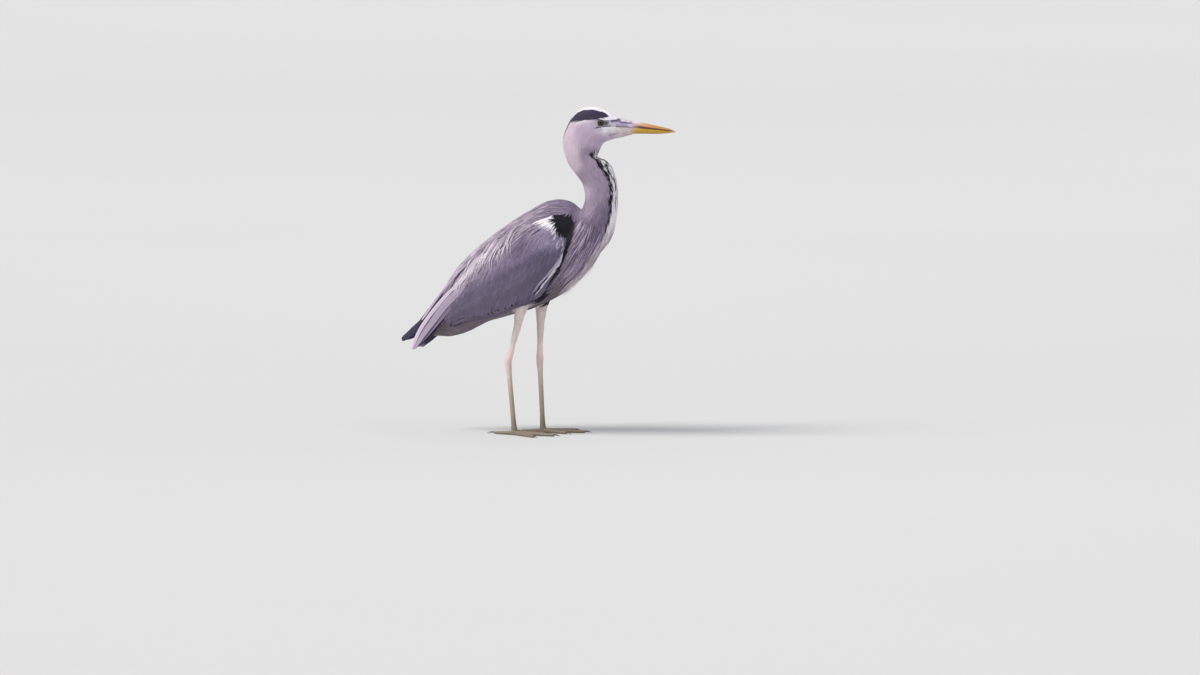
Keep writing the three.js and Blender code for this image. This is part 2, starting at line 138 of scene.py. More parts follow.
# x, z, then how deep the skin lies below the solids' surface, in mm.
DEPTH = np.array([
    (180, 668, 0), (165, 670, 0.2), (150, 697, 0.4), (112, 705, 0.6), (75, 688, 0.7),
    (135, 655, 0.4), (160, 648, 0.3), (130, 625, 0.7), (62, 650, 0.9), (85, 615, 1.0),
    (120, 560, 1.2), (140, 490, 1.5), (110, 400, 2.2), (60, 320, 2.4), (60, 500, 1.5),
    (-80, 430, 2.2), (-160, 370, 2.4), (-200, 310, 2.4), (40, 410, 1.6), (-40, 340, 2.2),
    (-130, 300, 2.4), (0, 285, 2.2), (-150, 235, 2.4), (-20, 260, 1.0), (-20, 245, 0.6),
], float)


def near(table, x, z, power=2.0, soft=30.0):
    """The table's rows at each point, mixed by nearness as seen from the side."""
    gap = (x[:, None] - table[:, 0]) ** 2 + (z[:, None] - table[:, 1]) ** 2 + soft
    share = gap ** -power
    share /= share.sum(1, keepdims=True)
    return share @ table[:, 2:]


def unit(v):
    return v / np.maximum(np.linalg.norm(v, axis=-1, keepdims=True), 1e-9)


def dot(a, b):
    return (a * b).sum(-1)


def tangent(v, normal):
    return unit(v - normal * dot(v, normal)[..., None])


def turned(v, normal, angle):
    """Directions v turned about the normals by angle, in radians."""
    c, s = np.cos(angle)[:, None], np.sin(angle)[:, None]
    return v * c + np.cross(normal, v) * s


def smooth(low, high, value):
    t = np.clip((value - low) / (high - low), 0, 1)
    return t * t * (3 - 2 * t)


def hump(value, middle, width):
    """One at the middle, falling smoothly away over the width."""
    return np.exp(-(((value - middle) / width) ** 2))


def eased(rows, rounds=1):
    """Rows of values, each eased towards its neighbours in its row, with the ends kept."""
    for _ in range(rounds):
        rows[:, 1:-1] = (rows[:, :-2] + 2 * rows[:, 1:-1] + rows[:, 2:]) / 4
    return rows


def looked_up(table, value, column=1):
    """A column of a table at each value, read between rows ordered by their first column."""
    rows = np.array(table, float)
    return np.interp(value, rows[:, 0], rows[:, column])


def lie(points):
    """The way the coat points at each point, before it is laid on the surface."""
    d = near(LIE, points[:, 0], points[:, 2])
    return unit(np.stack([d[:, 0], np.zeros(len(d)), d[:, 1]], 1))


def ripple(points, size, phase=0.0):
    """A smooth random-looking field from -1 to 1, whose waves are about size mm long."""
    k = 2 * math.pi / size
    x, y, z = (points * k).T
    a = np.sin(x + 1.7 * np.sin(0.6 * z + phase) + phase)
    b = np.sin(0.8 * z + 1.3 * np.sin(0.7 * x + 2 * phase) + 1.1 * y)
    return (a + b) / 2


# ---------------------------------------------------------------- meshes
def material_slot(ob, material):
    ob.data.materials.append(material)
    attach(ob, "root")


def placed(name, data):
    """An object for the data, linked to the scene."""
    ob = bpy.data.objects.new(name, data)
    bpy.context.scene.collection.objects.link(ob)
    return ob


def new_mesh(name, points, loops, sizes, colour, uv=None):
    """An object from points in mm and faces given as loop vertices and face sizes."""
    mesh = bpy.data.meshes.new(name)
    mesh.vertices.add(len(points))
    mesh.vertices.foreach_set("co", (points * MM).astype(np.float32).ravel())
    mesh.loops.add(len(loops))
    mesh.loops.foreach_set("vertex_index", loops.astype(np.int32))
    mesh.polygons.add(len(sizes))
    starts = np.concatenate([[0], np.cumsum(sizes)[:-1]])
    mesh.polygons.foreach_set("loop_start", starts.astype(np.int32))
    mesh.update(calc_edges=True)
    mesh.shade_smooth()
    add_colour(mesh, colour)
    if uv is not None:
        layer = mesh.uv_layers.new(name="OFBake")
        layer.data.foreach_set("uv", uv[loops].astype(np.float32).ravel())
    return placed(name, mesh)


def add_colour(mesh, colour):
    data = np.ones((len(mesh.vertices), 4), np.float32)
    data[:, :3] = colour
    layer = mesh.color_attributes.new(name="coat", type="FLOAT_COLOR", domain="POINT")
    layer.data.foreach_set("color", data.ravel())


def fetched(items, key, width, kind=np.float32):
    """A property of every item, as an array of rows."""
    out = np.empty(len(items) * width, kind)
    items.foreach_get(key, out)
    return out.reshape(-1, width)


def positions(mesh):
    """A mesh's vertices in mm."""
    return fetched(mesh.vertices, "co", 3).astype(float) / MM


def normals_of(mesh):
    return fetched(mesh.vertices, "normal", 3).astype(float)


def edges_of(mesh):
    return fetched(mesh.edges, "vertices", 2, np.int32)


def set_positions(mesh, points):
    mesh.vertices.foreach_set("co", (points * MM).astype(np.float32).ravel())
    mesh.update()


def relaxed(points, edges, rounds, push=0.5, pull=-0.52):
    """Points eased towards their neighbours and most of the way back, so the size stays."""
    size = len(points)
    count = np.maximum(np.bincount(edges.ravel(), minlength=size)[:, None], 1)
    for _ in range(rounds):
        for step in (push, pull):
            total = np.stack([
                np.bincount(edges[:, 0], points[edges[:, 1], k], size)
                + np.bincount(edges[:, 1], points[edges[:, 0], k], size)
                for k in range(3)
            ], 1)
            points = points + step * (total / count - points)
    return points


def cad_points(node):
    return positions(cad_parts[node].data)


def cad_centre(node):
    low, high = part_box(node)
    return np.array((low + high) / 2) / MM


def fused(name, nodes, swell, voxel):
    """One mesh grown over several CAD nodes: each is swollen a little so that the gaps close."""
    joined = bmesh.new()
    for node in nodes:
        piece = bmesh.new()
        piece.from_mesh(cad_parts[node].data)
        bmesh.ops.remove_doubles(piece, verts=piece.verts, dist=1e-6)
        piece.normal_update()
        for v in piece.verts:
            v.co += v.normal * swell * MM
        plain = bpy.data.meshes.new("plain")
        piece.to_mesh(plain)
        piece.free()
        joined.from_mesh(plain)
        bpy.data.meshes.remove(plain)
    mesh = bpy.data.meshes.new(name)
    joined.to_mesh(mesh)
    joined.free()
    ob = placed(name, mesh)
    modifier = ob.modifiers.new("grow", "REMESH")
    modifier.mode = "VOXEL"
    modifier.voxel_size = voxel * MM
    graph = bpy.context.evaluated_depsgraph_get()
    ob.data = bpy.data.meshes.new_from_object(ob.evaluated_get(graph))
    ob.data.name = name
    ob.modifiers.clear()
    ob.data.shade_smooth()
    return ob


def tree_of(mesh):
    """A search tree over a mesh, in mm, with its points and triangles."""
    mesh.calc_loop_triangles()
    tri = fetched(mesh.loop_triangles, "vertices", 3, np.int32)
    points = positions(mesh)
    return BVHTree.FromPolygons(points.tolist(), tri.tolist()), points, tri


def first_hits(trees, starts, way, reach=1000.0):
    """Where rays from the starts first meet the trees, and the normals, or None if one misses."""
    places, normals = [], []
    for start in starts:
        hits = [tree.ray_cast(Vector(start), Vector(way), reach) for tree in trees]
        hits = [hit for hit in hits if hit[0] is not None]
        if not hits:
            return None
        hit = min(hits, key=lambda found: found[3])
        places.append(hit[0][:])
        normals.append(hit[1][:])
    return places, normals


# How many places are tried for each that the spacing leaves room for, and how close two
# places may come as a part of the spacing.
TRIES = 3.2
CLOSEST = 0.8


class Surface:
    """A skin as triangles, with its smooth normals and its unwrap at any point."""

    def __init__(self, mesh):
        self.tree, self.points, self.tri = tree_of(mesh)
        self.normals = normals_of(mesh)
        loops = fetched(mesh.loop_triangles, "loops", 3, np.int32)
        self.uv = fetched(mesh.uv_layers["OFBake"].data, "uv", 2)[loops].astype(float)
        a, b, c = (self.points[self.tri[:, k]] for k in range(3))
        self.area = np.linalg.norm(np.cross(b - a, c - a), axis=1) / 2
        self.centre = (a + b + c) / 3

    def shares(self, face, at):
        """How near each point is to its triangle's three corners, adding up to one."""
        a, b, c = (self.points[self.tri[face, k]] for k in range(3))
        ab, ac, ap = b - a, c - a, at - a
        d00, d01, d11 = dot(ab, ab), dot(ab, ac), dot(ac, ac)
        d20, d21 = dot(ap, ab), dot(ap, ac)
        low = np.maximum(d00 * d11 - d01 * d01, 1e-12)
        v = (d11 * d20 - d01 * d21) / low
        w = (d00 * d21 - d01 * d20) / low
        out = np.clip(np.stack([1 - v - w, v, w], 1), 0, 1)
        return out / out.sum(1, keepdims=True)

    def snap(self, points):
        """The nearest places on the surface, with their normals and unwrap."""
        found = [self.tree.find_nearest(p) for p in points.tolist()]
        at = np.array([f[0][:] for f in found])
        face = np.array([f[2] for f in found])
        share = self.shares(face, at)[:, :, None]
        normal = unit((self.normals[self.tri[face]] * share).sum(1))
        return at, normal, (self.uv[face] * share).sum(1)

    def flank(self, x, z, sign):
        """The outermost place on one side of the body, at x and z, or None."""
        return self.tree.ray_cast(Vector((x, sign * OUTSIDE, z)), Vector((0, -sign, 0)))[0]

    def side(self, x, z, sign):
        """The outermost places on one side of the body, or else the nearest, at x and z."""
        out = np.empty((len(x), 3))
        for i, (px, pz) in enumerate(zip(x.tolist(), z.tolist())):
            hit = self.flank(px, pz, sign)
            if hit is None:
                hit = self.tree.find_nearest(Vector((px, sign * FLANK, pz)))[0]
            out[i] = hit[:]
        return out

    def scatter(self, spacing, keep):
        """Places about spacing apart over the triangles where keep holds, in a steady order."""
        gap = spacing(self.centre)
        weight = self.area / gap ** 2 * keep(self.centre)
        count = int(weight.sum() * TRIES)
        face = random.choice(len(weight), count, p=weight / weight.sum())
        r = random.random((count, 2))
        flip = r.sum(1) > 1
        r[flip] = 1 - r[flip]
        a, b, c = (self.points[self.tri[face, k]] for k in range(3))
        at = a + (b - a) * r[:, :1] + (c - a) * r[:, 1:]
        return at[spaced(at, gap[face] * CLOSEST)]


NEXT_CELLS = [(i, j, k) for i in (-1, 0, 1) for j in (-1, 0, 1) for k in (-1, 0, 1)]


def spaced(points, radius):
    """Which points stay when each keeps its own distance from those before it."""
    cells = np.floor(points / radius.max()).astype(int).tolist()
    grid, kept = {}, []
    for n, (p, cell, limit) in enumerate(zip(points.tolist(), cells, (radius ** 2).tolist())):
        near_by = (
            q for i, j, k in NEXT_CELLS
            for q in grid.get((cell[0] + i, cell[1] + j, cell[2] + k), ())
        )
        if all((p[0] - q[0]) ** 2 + (p[1] - q[1]) ** 2 + (p[2] - q[2]) ** 2 >= limit
               for q in near_by):
            grid.setdefault(tuple(cell), []).append(p)
            kept.append(n)
    return np.array(kept)


# ---------------------------------------------------------------- markings
def inside(outline, x, z):
    """Whether each point lies in an outline drawn from the side, in mm."""
    a = np.array(outline, float)
    b = np.roll(a, -1, 0)
    crosses = (a[:, 1] > z[:, None]) != (b[:, 1] > z[:, None])
    rise = np.where(np.abs(b[:, 1] - a[:, 1]) < 1e-9, 1e-9, b[:, 1] - a[:, 1])
    at = a[:, 0] + (z[:, None] - a[:, 1]) * (b[:, 0] - a[:, 0]) / rise
    return (crosses & (x[:, None] < at)).sum(1) % 2 == 1


# Outlines of the markings, and of the bare lores, seen from the side in mm.
STRIPE = (
    (66, 668), (74, 680), (79, 687), (88, 695), (102, 701), (118, 702.5), (134, 700),
    (144, 697.5), (152, 693.5), (157, 688), (149, 685.5), (140, 685), (131, 680.5),
    (118, 679.5), (102, 678), (88, 675), (75, 672),
)
LORES = (
    (145, 680.5), (158, 680.5), (166, 681), (172, 681.5), (182, 683), (182, 667.5), (168, 667),
    (156, 665.6), (146, 664.8), (138, 663.5), (131, 662.6), (134, 668),
)
SHOULDER = (
    (35, 466), (42, 474), (55, 477), (69, 474), (81, 470), (91, 456), (94, 438), (89, 421),
    (82, 403), (74, 384), (66, 370), (57, 372), (65, 388), (71, 403), (74, 419), (68, 430),
    (56, 437), (50, 445), (47, 458), (39, 461),
)
WING_FRONT = (
    (73, 382), (64, 366), (54, 351), (43, 339), (33, 327), (27, 317), (24, 304), (16, 289),
    (2, 280), (-6, 280), (-5, 292), (2, 297), (10, 307), (19, 318), (28, 329), (38, 339),
    (48, 352), (57, 365), (65, 377),
)
WHITE_EDGE = (
    (74, 386), (65, 381), (54, 370), (41, 354), (27, 340), (14, 327), (4, 313), (-2, 299),
    (2, 297), (10, 307), (19, 318), (28, 329), (38, 339), (48, 352), (57, 365), (65, 377),
)
WRIST = (
    (-2, 456), (12, 464), (26, 470), (40, 476), (45, 477), (38, 469), (39, 461), (47, 458),
    (51, 446), (60, 435), (52, 435), (42, 443), (34, 449), (24, 452), (14, 446), (18, 455),
    (10, 457),
)
WING_EDGE_PALE = (
    (73, 421), (72, 410), (70, 398), (66, 388), (60, 378), (52, 366), (50, 372), (56, 386),
    (60, 400), (58, 414), (50, 426), (54, 431), (66, 424),
)
# The dark line below the cheek, seen from the side in mm.
MALAR = ((158, 647.3), (168, 649.8), (177, 652.8), (184, 654.8))
NOTCH = ((1, 424), (9, 433), (20, 443), (17, 446), (7, 438), (-1, 428))
BELLY_LINE = (
    (-8, 270), (12, 271), (30, 278), (40, 288), (44, 297), (36, 294), (24, 286), (10, 281),
    (-8, 279),
)
# z, then the front edge's x and half the distance between the two dark lines, in mm.
FORENECK = np.array([
    (608, 132, 12), (598, 136, 16), (585, 157, 18), (573, 164, 18), (549, 172, 16),
    (530, 175, 15.5), (508, 175, 17), (482, 173, 19), (461, 170, 23), (448, 168, 25),
    (427, 159, 25), (407, 147, 22), (390, 135, 15), (376, 127, 7),
], float)[::-1]
# The lowest and highest z of the streaked foreneck.
FRONT_LOW, FRONT_HIGH = 372, 610
# x, z and the coat's colour round there.
ZONES = (
    (112, 700, WHITE), (150, 694, WHITE), (90, 690, WHITE), (130, 670, CHEEK),
    (158, 685, WHITE), (170, 683, WHITE), (144, 683.5, WHITE), (150, 660, WHITE),
    (166, 660, WHITE), (138, 664, THROAT), (160, 648, THROAT), (176, 652, CHIN),
    (190, 652, CHIN), (206, 652, CHIN), (100, 655, CHEEK), (62, 650, PALE), (70, 668, PALE),
    (140, 636, CHEEK), (120, 640, CHEEK), (75, 610, PALE), (115, 600, NECK_GREY),
    (100, 555, NECK_GREY), (150, 530, NECK_GREY), (110, 490, NECK_GREY), (82, 575, PALE),
    (125, 560, NECK_GREY), (98, 520, CHEEK), (82, 545, PALE), (148, 470, BREAST_GREY),
    (130, 440, BREAST_GREY), (90, 370, BREAST_GREY), (60, 320, BELLY_GREY), (30, 300, BELLY_GREY),
    (100, 450, BREAST_GREY), (70, 492, MANTLE_GREY), (20, 480, MANTLE_GREY),
    (30, 497, MANTLE_GREY), (0, 477, (150, 136, 159)), (-22, 470, (168, 152, 172)),
    (-50, 458, BACK_PALE), (-95, 425, BACK_PALE),
    (-150, 375, BACK_PALE), (-185, 335, BACK_PALE), (-50, 415, MANTLE_GREY),
    (-110, 370, MANTLE_GREY), (-200, 300, MANTLE_GREY), (44, 400, WING_BLUE),
    (-20, 400, WING_GREY), (20, 370, WING_BLUE), (-60, 330, WING_GREY), (-140, 300, WING_GREY),
    (-20, 300, WING_GREY), (-190, 270, WING_GREY), (10, 283, BELLY_GREY), (-60, 262, VENT),
    (-110, 245, VENT), (-150, 225, VENT), (-195, 212, VENT),
)


def ground_colour(x, z):
    """The coat's colour by region, before its markings."""
    table = np.array([(px, pz, *linear(c)) for px, pz, c in ZONES])
    return near(table, x, z, 2.5, 60.0)


def thighs(points):
    """How far each point belongs to the feathered thighs below the belly, from 0 to 1."""
    z, y = points[:, 2], np.abs(points[:, 1])
    return smooth(286, 270, z) * smooth(16, 20, y) * smooth(60, 54, y) * (
        np.where(points[:, 1] < 0, smooth(-58, -50, points[:, 0]), smooth(-34, -26, points[:, 0]))
    )


def stroke(x, z, line, width):
    """How strongly a soft line seen from the side covers each point, from 0 to 1."""
    line = np.array(line, float)
    best = np.full(x.shape, 1e9)
    for a, b in zip(line, line[1:]):
        ab = b - a
        t = np.clip(((x - a[0]) * ab[0] + (z - a[1]) * ab[1]) / (ab @ ab), 0, 1)
        gap = (x - a[0] - t * ab[0]) ** 2 + (z - a[1] - t * ab[1]) ** 2
        best = np.minimum(best, gap)
    return np.exp(-((best / width ** 2) ** 1.25))


def foreneck(points):
    """Where the streaked front of the neck is, and how far out its dark lines lie, in mm."""
    x, _, z = points.T
    front = looked_up(FORENECK, z)
    there = (z > FRONT_LOW) & (z < FRONT_HIGH) & (x > front - 26)
    return there, looked_up(FORENECK, z, 2)


def paint_neck(points, colour, speck):
    """White between two broken dark lines, and streaked all over near the throat."""
    there, half = foreneck(points)
    x, y, z = points.T
    off = np.abs(y) - half
    colour[there & (off < -0.5)] = linear(WHITE) * 0.92
    dash = (z / 26) % 1
    off = off + 1.6 * (dash - 0.5)
    width = np.interp(z, (376, 400, 440, 520, 560, 606), (0.9, 1.5, 2.6, 3.0, 2.4, 1.8))
    line = there & (np.abs(off) < width) & (dash > 0.07) & (speck < 0.97) & (z < 604)
    gap = np.abs(y) - 0.46 * half
    inner = there & (np.abs(gap + 1.2 * dash) < 1.7) & (z > 486) & (z < 556)
    line |= inner & ((z / 17 + 0.3) % 1 > 0.12)
    across = 0.80 * x + 0.60 * z + 0.55 * np.abs(y)
    along = 0.60 * x - 0.80 * z
    streaks = np.sin(across * 2 * np.pi / 7.4 + 1.5 * np.sin(along * 2 * np.pi / 27 + y * 0.3))
    upper = there & (z > 546 + 8 * speck) & (off < 1) & (streaks > 0.12) & (speck < 0.93)
    throat = there & (z > 592) & (off < 3) & (speck < 0.40)
    colour[line | upper | throat] = linear(INK)


# The patches at the wing's front, in the order they are painted, with their colours.
PATCHES = (
    (WRIST, WHITE), (WHITE_EDGE, PALE), (SHOULDER, INK), (WING_FRONT, INK),
)


def coat_colour(points, speck=0.5):
    """The bird's markings. speck is a random number for each feather, or a half for the skin."""
    x, y, z = points.T
    speck = np.broadcast_to(speck, len(x))
    colour = mixed(ground_colour(x, z), linear(CREAM), thighs(points))
    wide = np.abs(y) > WING_SIDE - 1
    paint_neck(points, colour, speck)
    soft = np.exp(-(((x - 40) / 30) ** 2 + ((z - 425) / 26) ** 2)) * wide
    colour = mixed(colour, linear((156, 143, 168)), 0.7 * soft)
    colour[inside(WING_EDGE_PALE, x, z) & wide & (speck < 0.6)] = linear((198, 186, 206))
    for outline, shade in PATCHES:
        colour[inside(outline, x, z) & wide] = linear(shade)
    colour[inside(NOTCH, x, z) & wide] = linear(SLATE) * 0.6
    colour[inside(BELLY_LINE, x, z) & (np.abs(y) < 66)] = linear(INK)
    colour[inside(STRIPE, x, z)] = linear(CAP)
    malar = stroke(x, z, MALAR, 1.1) * (np.abs(y) > 2.5)
    return mixed(colour, linear((140, 128, 142)), 0.75 * malar)


def marked(points):
    """Whether each point lies on the dark and white patches at the wing's front."""
    x, _, z = points.T
    outlines = [outline for outline, _ in PATCHES] + [WING_EDGE_PALE]
    return np.any([inside(outline, x, z) for outline in outlines], axis=0)


# ---------------------------------------------------------------- materials
def add(tree, kind, sockets=(), **settings):
    node = tree.nodes.new("ShaderNode" + kind)
    for key, value in settings.items():
        setattr(node, key, value)
    for key, value in dict(sockets).items():
        node.inputs[key].default_value = value
    return node


def link(tree, source, target, out=0, into=0):
    tree.links.new(source.outputs[out], target.inputs[into])


def new_material(name, sockets):
    """A material with its shader, whose constant sockets are set directly."""
    material = bpy.data.materials.new(name)
    material.use_nodes = True
    tree = material.node_tree
    tree.nodes.clear()
    shader = add(tree, "BsdfPrincipled", sockets)
    link(tree, shader, add(tree, "OutputMaterial"))
    return material, tree, shader


def stretched(tree, scale, source=None):
    """Places scaled along each axis: another node's, or else the object's own coordinates."""
    out = 0 if source else "Object"
    source = source or add(tree, "TexCoord")
    mapping = add(tree, "Mapping", {"Scale": scale})
    link(tree, source, mapping, out)
    return mapping


def tinted(tree, shader, source, levels, out="Fac"):
    """The painted colour times a grey that follows a pattern between two levels."""
    paint = add(tree, "Attribute", attribute_name="coat")
    ramp = add(tree, "MapRange", levels)
    link(tree, source, ramp, out, "Value")
    times = add(tree, "VectorMath", operation="MULTIPLY")
    link(tree, paint, times, "Color", 0)
    link(tree, ramp, times, 0, 1)
    link(tree, times, shader, 0, "Base Color")
    return ramp


def bumped(tree, shader, source, strength, distance, out="Fac"):
    bump = add(tree, "Bump", {"Strength": strength, "Distance": distance})
    link(tree, source, bump, out, "Height")
    link(tree, bump, shader, 0, "Normal")


def feather_material(name, roughness, contrast, barb):
    """Vanes: fine slanting barbs in colour and bump, from each feather's own measure."""
    material, tree, shader = new_material(name, {
        "Roughness": roughness, "Specular IOR Level": 0.22, "Sheen Weight": 0.05,
    })
    own = add(tree, "Attribute", attribute_name="vane")
    split = add(tree, "SeparateXYZ")
    link(tree, own, split, "Vector")
    across = add(tree, "Math", operation="ABSOLUTE")
    link(tree, split, across, "X")
    slant = add(tree, "Math", {1: -1.1}, operation="MULTIPLY_ADD")
    link(tree, across, slant)
    link(tree, split, slant, "Y", 2)
    place = add(tree, "CombineXYZ")
    link(tree, slant, place, 0, "X")
    link(tree, across, place, 0, "Y")
    link(tree, split, place, "Z", "Z")
    stretch = stretched(tree, (barb, barb * 0.14, 37.0), place)
    grain = add(tree, "TexNoise", {"Scale": 1.0, "Detail": 2.0, "Roughness": 0.6})
    link(tree, stretch, grain)
    tinted(tree, shader, grain, {"To Min": 1 - contrast, "To Max": 1 + contrast})
    bumped(tree, shader, grain, 0.35, 0.0003)
    return material


def grained_material(name, sockets, scale, contrast, bump, distance, stretch=(1.0, 1.0, 1.0)):
    """A painted surface with a fine noise grain in its colour and bump."""
    material, tree, shader = new_material(name, sockets)
    place = stretched(tree, stretch)
    grain = add(tree, "TexNoise", {"Scale": scale, "Detail": 5.0, "Roughness": 0.62})
    link(tree, place, grain)
    tinted(tree, shader, grain, {"To Min": 1 - contrast, "To Max": 1 + contrast})
    bumped(tree, shader, grain, bump, distance)
    return material


def scaly_material(name):
    """Leg skin: small many-sided scales in bump and in slightly darker seams."""
    material, tree, shader = new_material(name, {
        "Roughness": 0.5, "Specular IOR Level": 0.45, "Coat Weight": 0.08, "Coat Roughness": 0.35,
    })
    place = stretched(tree, (1.0, 1.0, 0.7))
    scales = add(tree, "TexVoronoi", {"Scale": 780.0}, feature="DISTANCE_TO_EDGE")
    link(tree, place, scales)
    levels = {"From Max": 0.22, "To Min": 0.93, "To Max": 1.02}
    seam = tinted(tree, shader, scales, levels, "Distance")
    bumped(tree, shader, seam, 0.35, 0.0003, 0)
    return material


# ---------------------------------------------------------------- feathers
def lance(t):
    """A narrow strand: quickly wide, then drawn out to a fine point."""
    return np.clip(np.sin(np.pi * np.clip(t, 0, 1) ** 0.62), 0.12, 1) * (1 - 0.35 * t)


def leaf(t):
    """A body feather: a slim root and a round tip."""
    return np.clip(0.35 + 1.25 * t - 0.25 * t * t, 0, 1) * np.sqrt(np.clip(1 - t ** 5, 0.02, 1))


def blade(t):
    """A flight feather: long parallel edges and a blunt tip."""
    return np.clip(0.45 + 2.2 * t, 0, 1) * np.sqrt(np.clip(1 - t ** 6, 0.01, 1))


def covert(t):
    """A wing feather: parallel edges and a long round tip."""
    return np.clip(0.5 + 2.0 * t, 0, 1) * np.sqrt(np.clip(1 - t ** 3.2, 0.02, 1))


def topology(rows, across):
    """The faces of one closed vane: the top, the underside, the tip and the root."""
    faces = []
    for i in range(rows - 1):
        a, b = i * across, (i + 1) * across
        faces += [(a + j, a + j + 1, b + j + 1, b + j) for j in range(across - 1)]
        faces.append((a, b, b + across - 1, a + across - 1))
    last, tip = (rows - 1) * across, rows * across
    faces += [(last + j, last + j + 1, tip) for j in range(across - 1)]
    faces.append((last, tip, last + across - 1))
    faces.append(tuple(range(across - 1, -1, -1)))
    return faces


# The size of a vane's own patch in the unwrap, and the kinds of point on a vane.
UV_SIZE = 0.0015
INNER, LEFT_RIM, RIGHT_RIM, TIP = range(4)


def with_tip(values, tip):
    """Values over n vanes by places by points across, as a row for each vane, tip last."""
    n = len(values)
    return np.concatenate([values.reshape(n, -1), np.broadcast_to(tip, n)[:, None]], 1)


def vane_axes(path, normal, roll):
    """Each vane's sideways and outward directions, rolled a little about its length."""
    along = unit(np.gradient(path, axis=1))
    side = unit(np.cross(along, normal))
    over = unit(np.cross(side, along))
    if roll:
        side, over = unit(side + over * roll), unit(over - side * roll)
    return side, over


class Coat:
    """Feathers gathered into one mesh."""

    def __init__(self, name):
        self.name, self.total = name, 0
        self.points, self.colours, self.uvs, self.vanes, self.rims = [], [], [], [], []
        self.loops, self.sizes = [], []

    def add(self, path, normal, half, lift, colours, uv, shape, across=3, arch=0.28, roll=0.0):
        """Vanes along paths of n feathers by k places, each of its own half width in mm."""
        n, k = path.shape[:2]
        t, a = np.linspace(0, 1, k), np.linspace(-1, 1, across)
        width = (np.broadcast_to(half, n)[:, None] * shape(t))[:, :-1, None]
        side, over = vane_axes(path, normal, roll)
        rise = lift[:, :-1, None] + width * ((1 - a * a) * arch)
        points = (
            path[:, :-1, None] + side[:, :-1, None] * (width * a)[..., None]
            + over[:, :-1, None] * rise[..., None]
        ).reshape(n, -1, 3)
        tip = path[:, -1:] + over[:, -1:] * lift[:, -1:, None]
        whole = (1, k - 1, across)
        run = with_tip(np.broadcast_to(t[:-1, None], whole), 1.0)[0]
        out = with_tip(np.broadcast_to(a, whole), 0.0)[0]
        length = np.linalg.norm(np.diff(path, axis=1), axis=2).sum(1)
        seed = np.repeat(random.random(n)[:, None], len(run), 1)
        self.points.append(np.concatenate([points, tip], 1).reshape(-1, 3))
        measure = np.stack([with_tip(width * a, 0.0), length[:, None] * run, seed], 2)
        self.vanes.append(measure.reshape(-1, 3))
        place = np.stack([out, 2 * run - 1], 1)
        self.uvs.append((uv[:, None, :] + place * UV_SIZE).reshape(-1, 2))
        self.paint(colours, run, out)
        self.join(n, k - 1, across)

    def paint(self, colours, run, out):
        """Mixes each vane's root and tip colours along it, and shades its rim."""
        base, end, edge = colours
        rim = np.abs(out) ** 2
        rim[-1] = 1.0
        tone = mixed(base[:, None, :], end[:, None, :], run[None, :])
        tone = tone * (1 + edge * rim * run)[None, :, None]
        self.colours.append(np.clip(tone, 0, 1).reshape(-1, 3))

    def join(self, n, rows, across):
        """Adds the faces of n vanes, and marks the points on their rims."""
        faces = topology(rows, across)
        count = rows * across + 1
        offset = self.total + np.arange(n) * count
        flat = np.concatenate([np.array(f) for f in faces])
        self.loops.append((flat[None, :] + offset[:, None]).ravel())
        self.sizes.append(np.tile([len(f) for f in faces], n))
        self.total += n * count
        kind = np.full(count, INNER)
        kind[0:count - 1:across] = LEFT_RIM
        kind[across - 1:count - 1:across] = RIGHT_RIM
        kind[-1] = TIP
        self.rims.append(np.tile(kind, n))

    def build(self, material):
        """Makes the mesh with sharp rims, and gives it its material, slot and body."""
        ob = new_mesh(
            self.name, np.concatenate(self.points), np.concatenate(self.loops),
            np.concatenate(self.sizes), np.concatenate(self.colours), np.concatenate(self.uvs),
        )
        layer = ob.data.attributes.new("vane", "FLOAT_VECTOR", "POINT")
        vanes = np.concatenate(self.vanes).astype(np.float32)
        layer.data.foreach_set("vector", vanes.ravel())
        ends = np.concatenate(self.rims)[edges_of(ob.data)]
        low, high = ends.min(1), ends.max(1)
        layer = ob.data.attributes.new("sharp_edge", "BOOLEAN", "EDGE")
        layer.data.foreach_set("value", (low > INNER) & ((low == high) | (high == TIP)))
        material_slot(ob, material)
        return ob


# A feather leaves the skin where the skin turns away by more than this cosine, or lies
# further off than this part of the feather's step.
SHARP_TURN = 0.45
LONG_LEAP = 0.8


def walk(skin, roots, length, steps, turn, bend=0.0, stiff=0.35, aim=None):
    """Paths from the roots along the lie of the coat, close to the skin until its edge.

    With aim, each path makes for its own place instead, as seen from the side.
    """
    def flow(at):
        return lie(at) if aim is None else unit((aim - at) * [1, 0, 1])

    at, normal, uv = skin.snap(roots)
    way = turned(tangent(flow(at), normal), normal, turn)
    path, normals = [at], [normal]
    free = np.zeros(len(at), bool)
    stride = (length / (steps - 1))[:, None]
    for k in range(1, steps):
        ahead = at + way * stride
        hit, seen, _ = skin.snap(ahead)
        leap = np.linalg.norm(hit - ahead, axis=1)
        free |= (dot(seen, normal) < SHARP_TURN) | (leap > stride[:, 0] * LONG_LEAP)
        loose = free[:, None]
        at = np.where(loose, ahead, hit)
        normal = np.where(loose, normal, unit(seen + normal * 0.3))
        aimed = turned(tangent(flow(at), normal), normal, turn + bend * k / steps)
        way = np.where(loose, way, tangent(way * stiff + aimed * (1 - stiff), normal))
        path.append(at)
        normals.append(normal)
    return np.stack(path, 1), np.stack(normals, 1), uv


def shades(colour, spread, tip, edge, base=0.82):
    """Each feather's colour at its root and tip, with a little difference between feathers."""
    # base, below one, darkens each root: painted shade where the feathers overlap.
    each = np.exp(spread * random.normal(size=len(colour)))[:, None]
    return colour * each * base, colour * each * tip, edge


def rising(height, steps, low=0.1, power=0.8):
    """How high a feather stands over the skin along its length."""
    t = np.linspace(0, 1, steps)
    return height[:, None] * (low + (1 - low) * t ** power)[None, :]


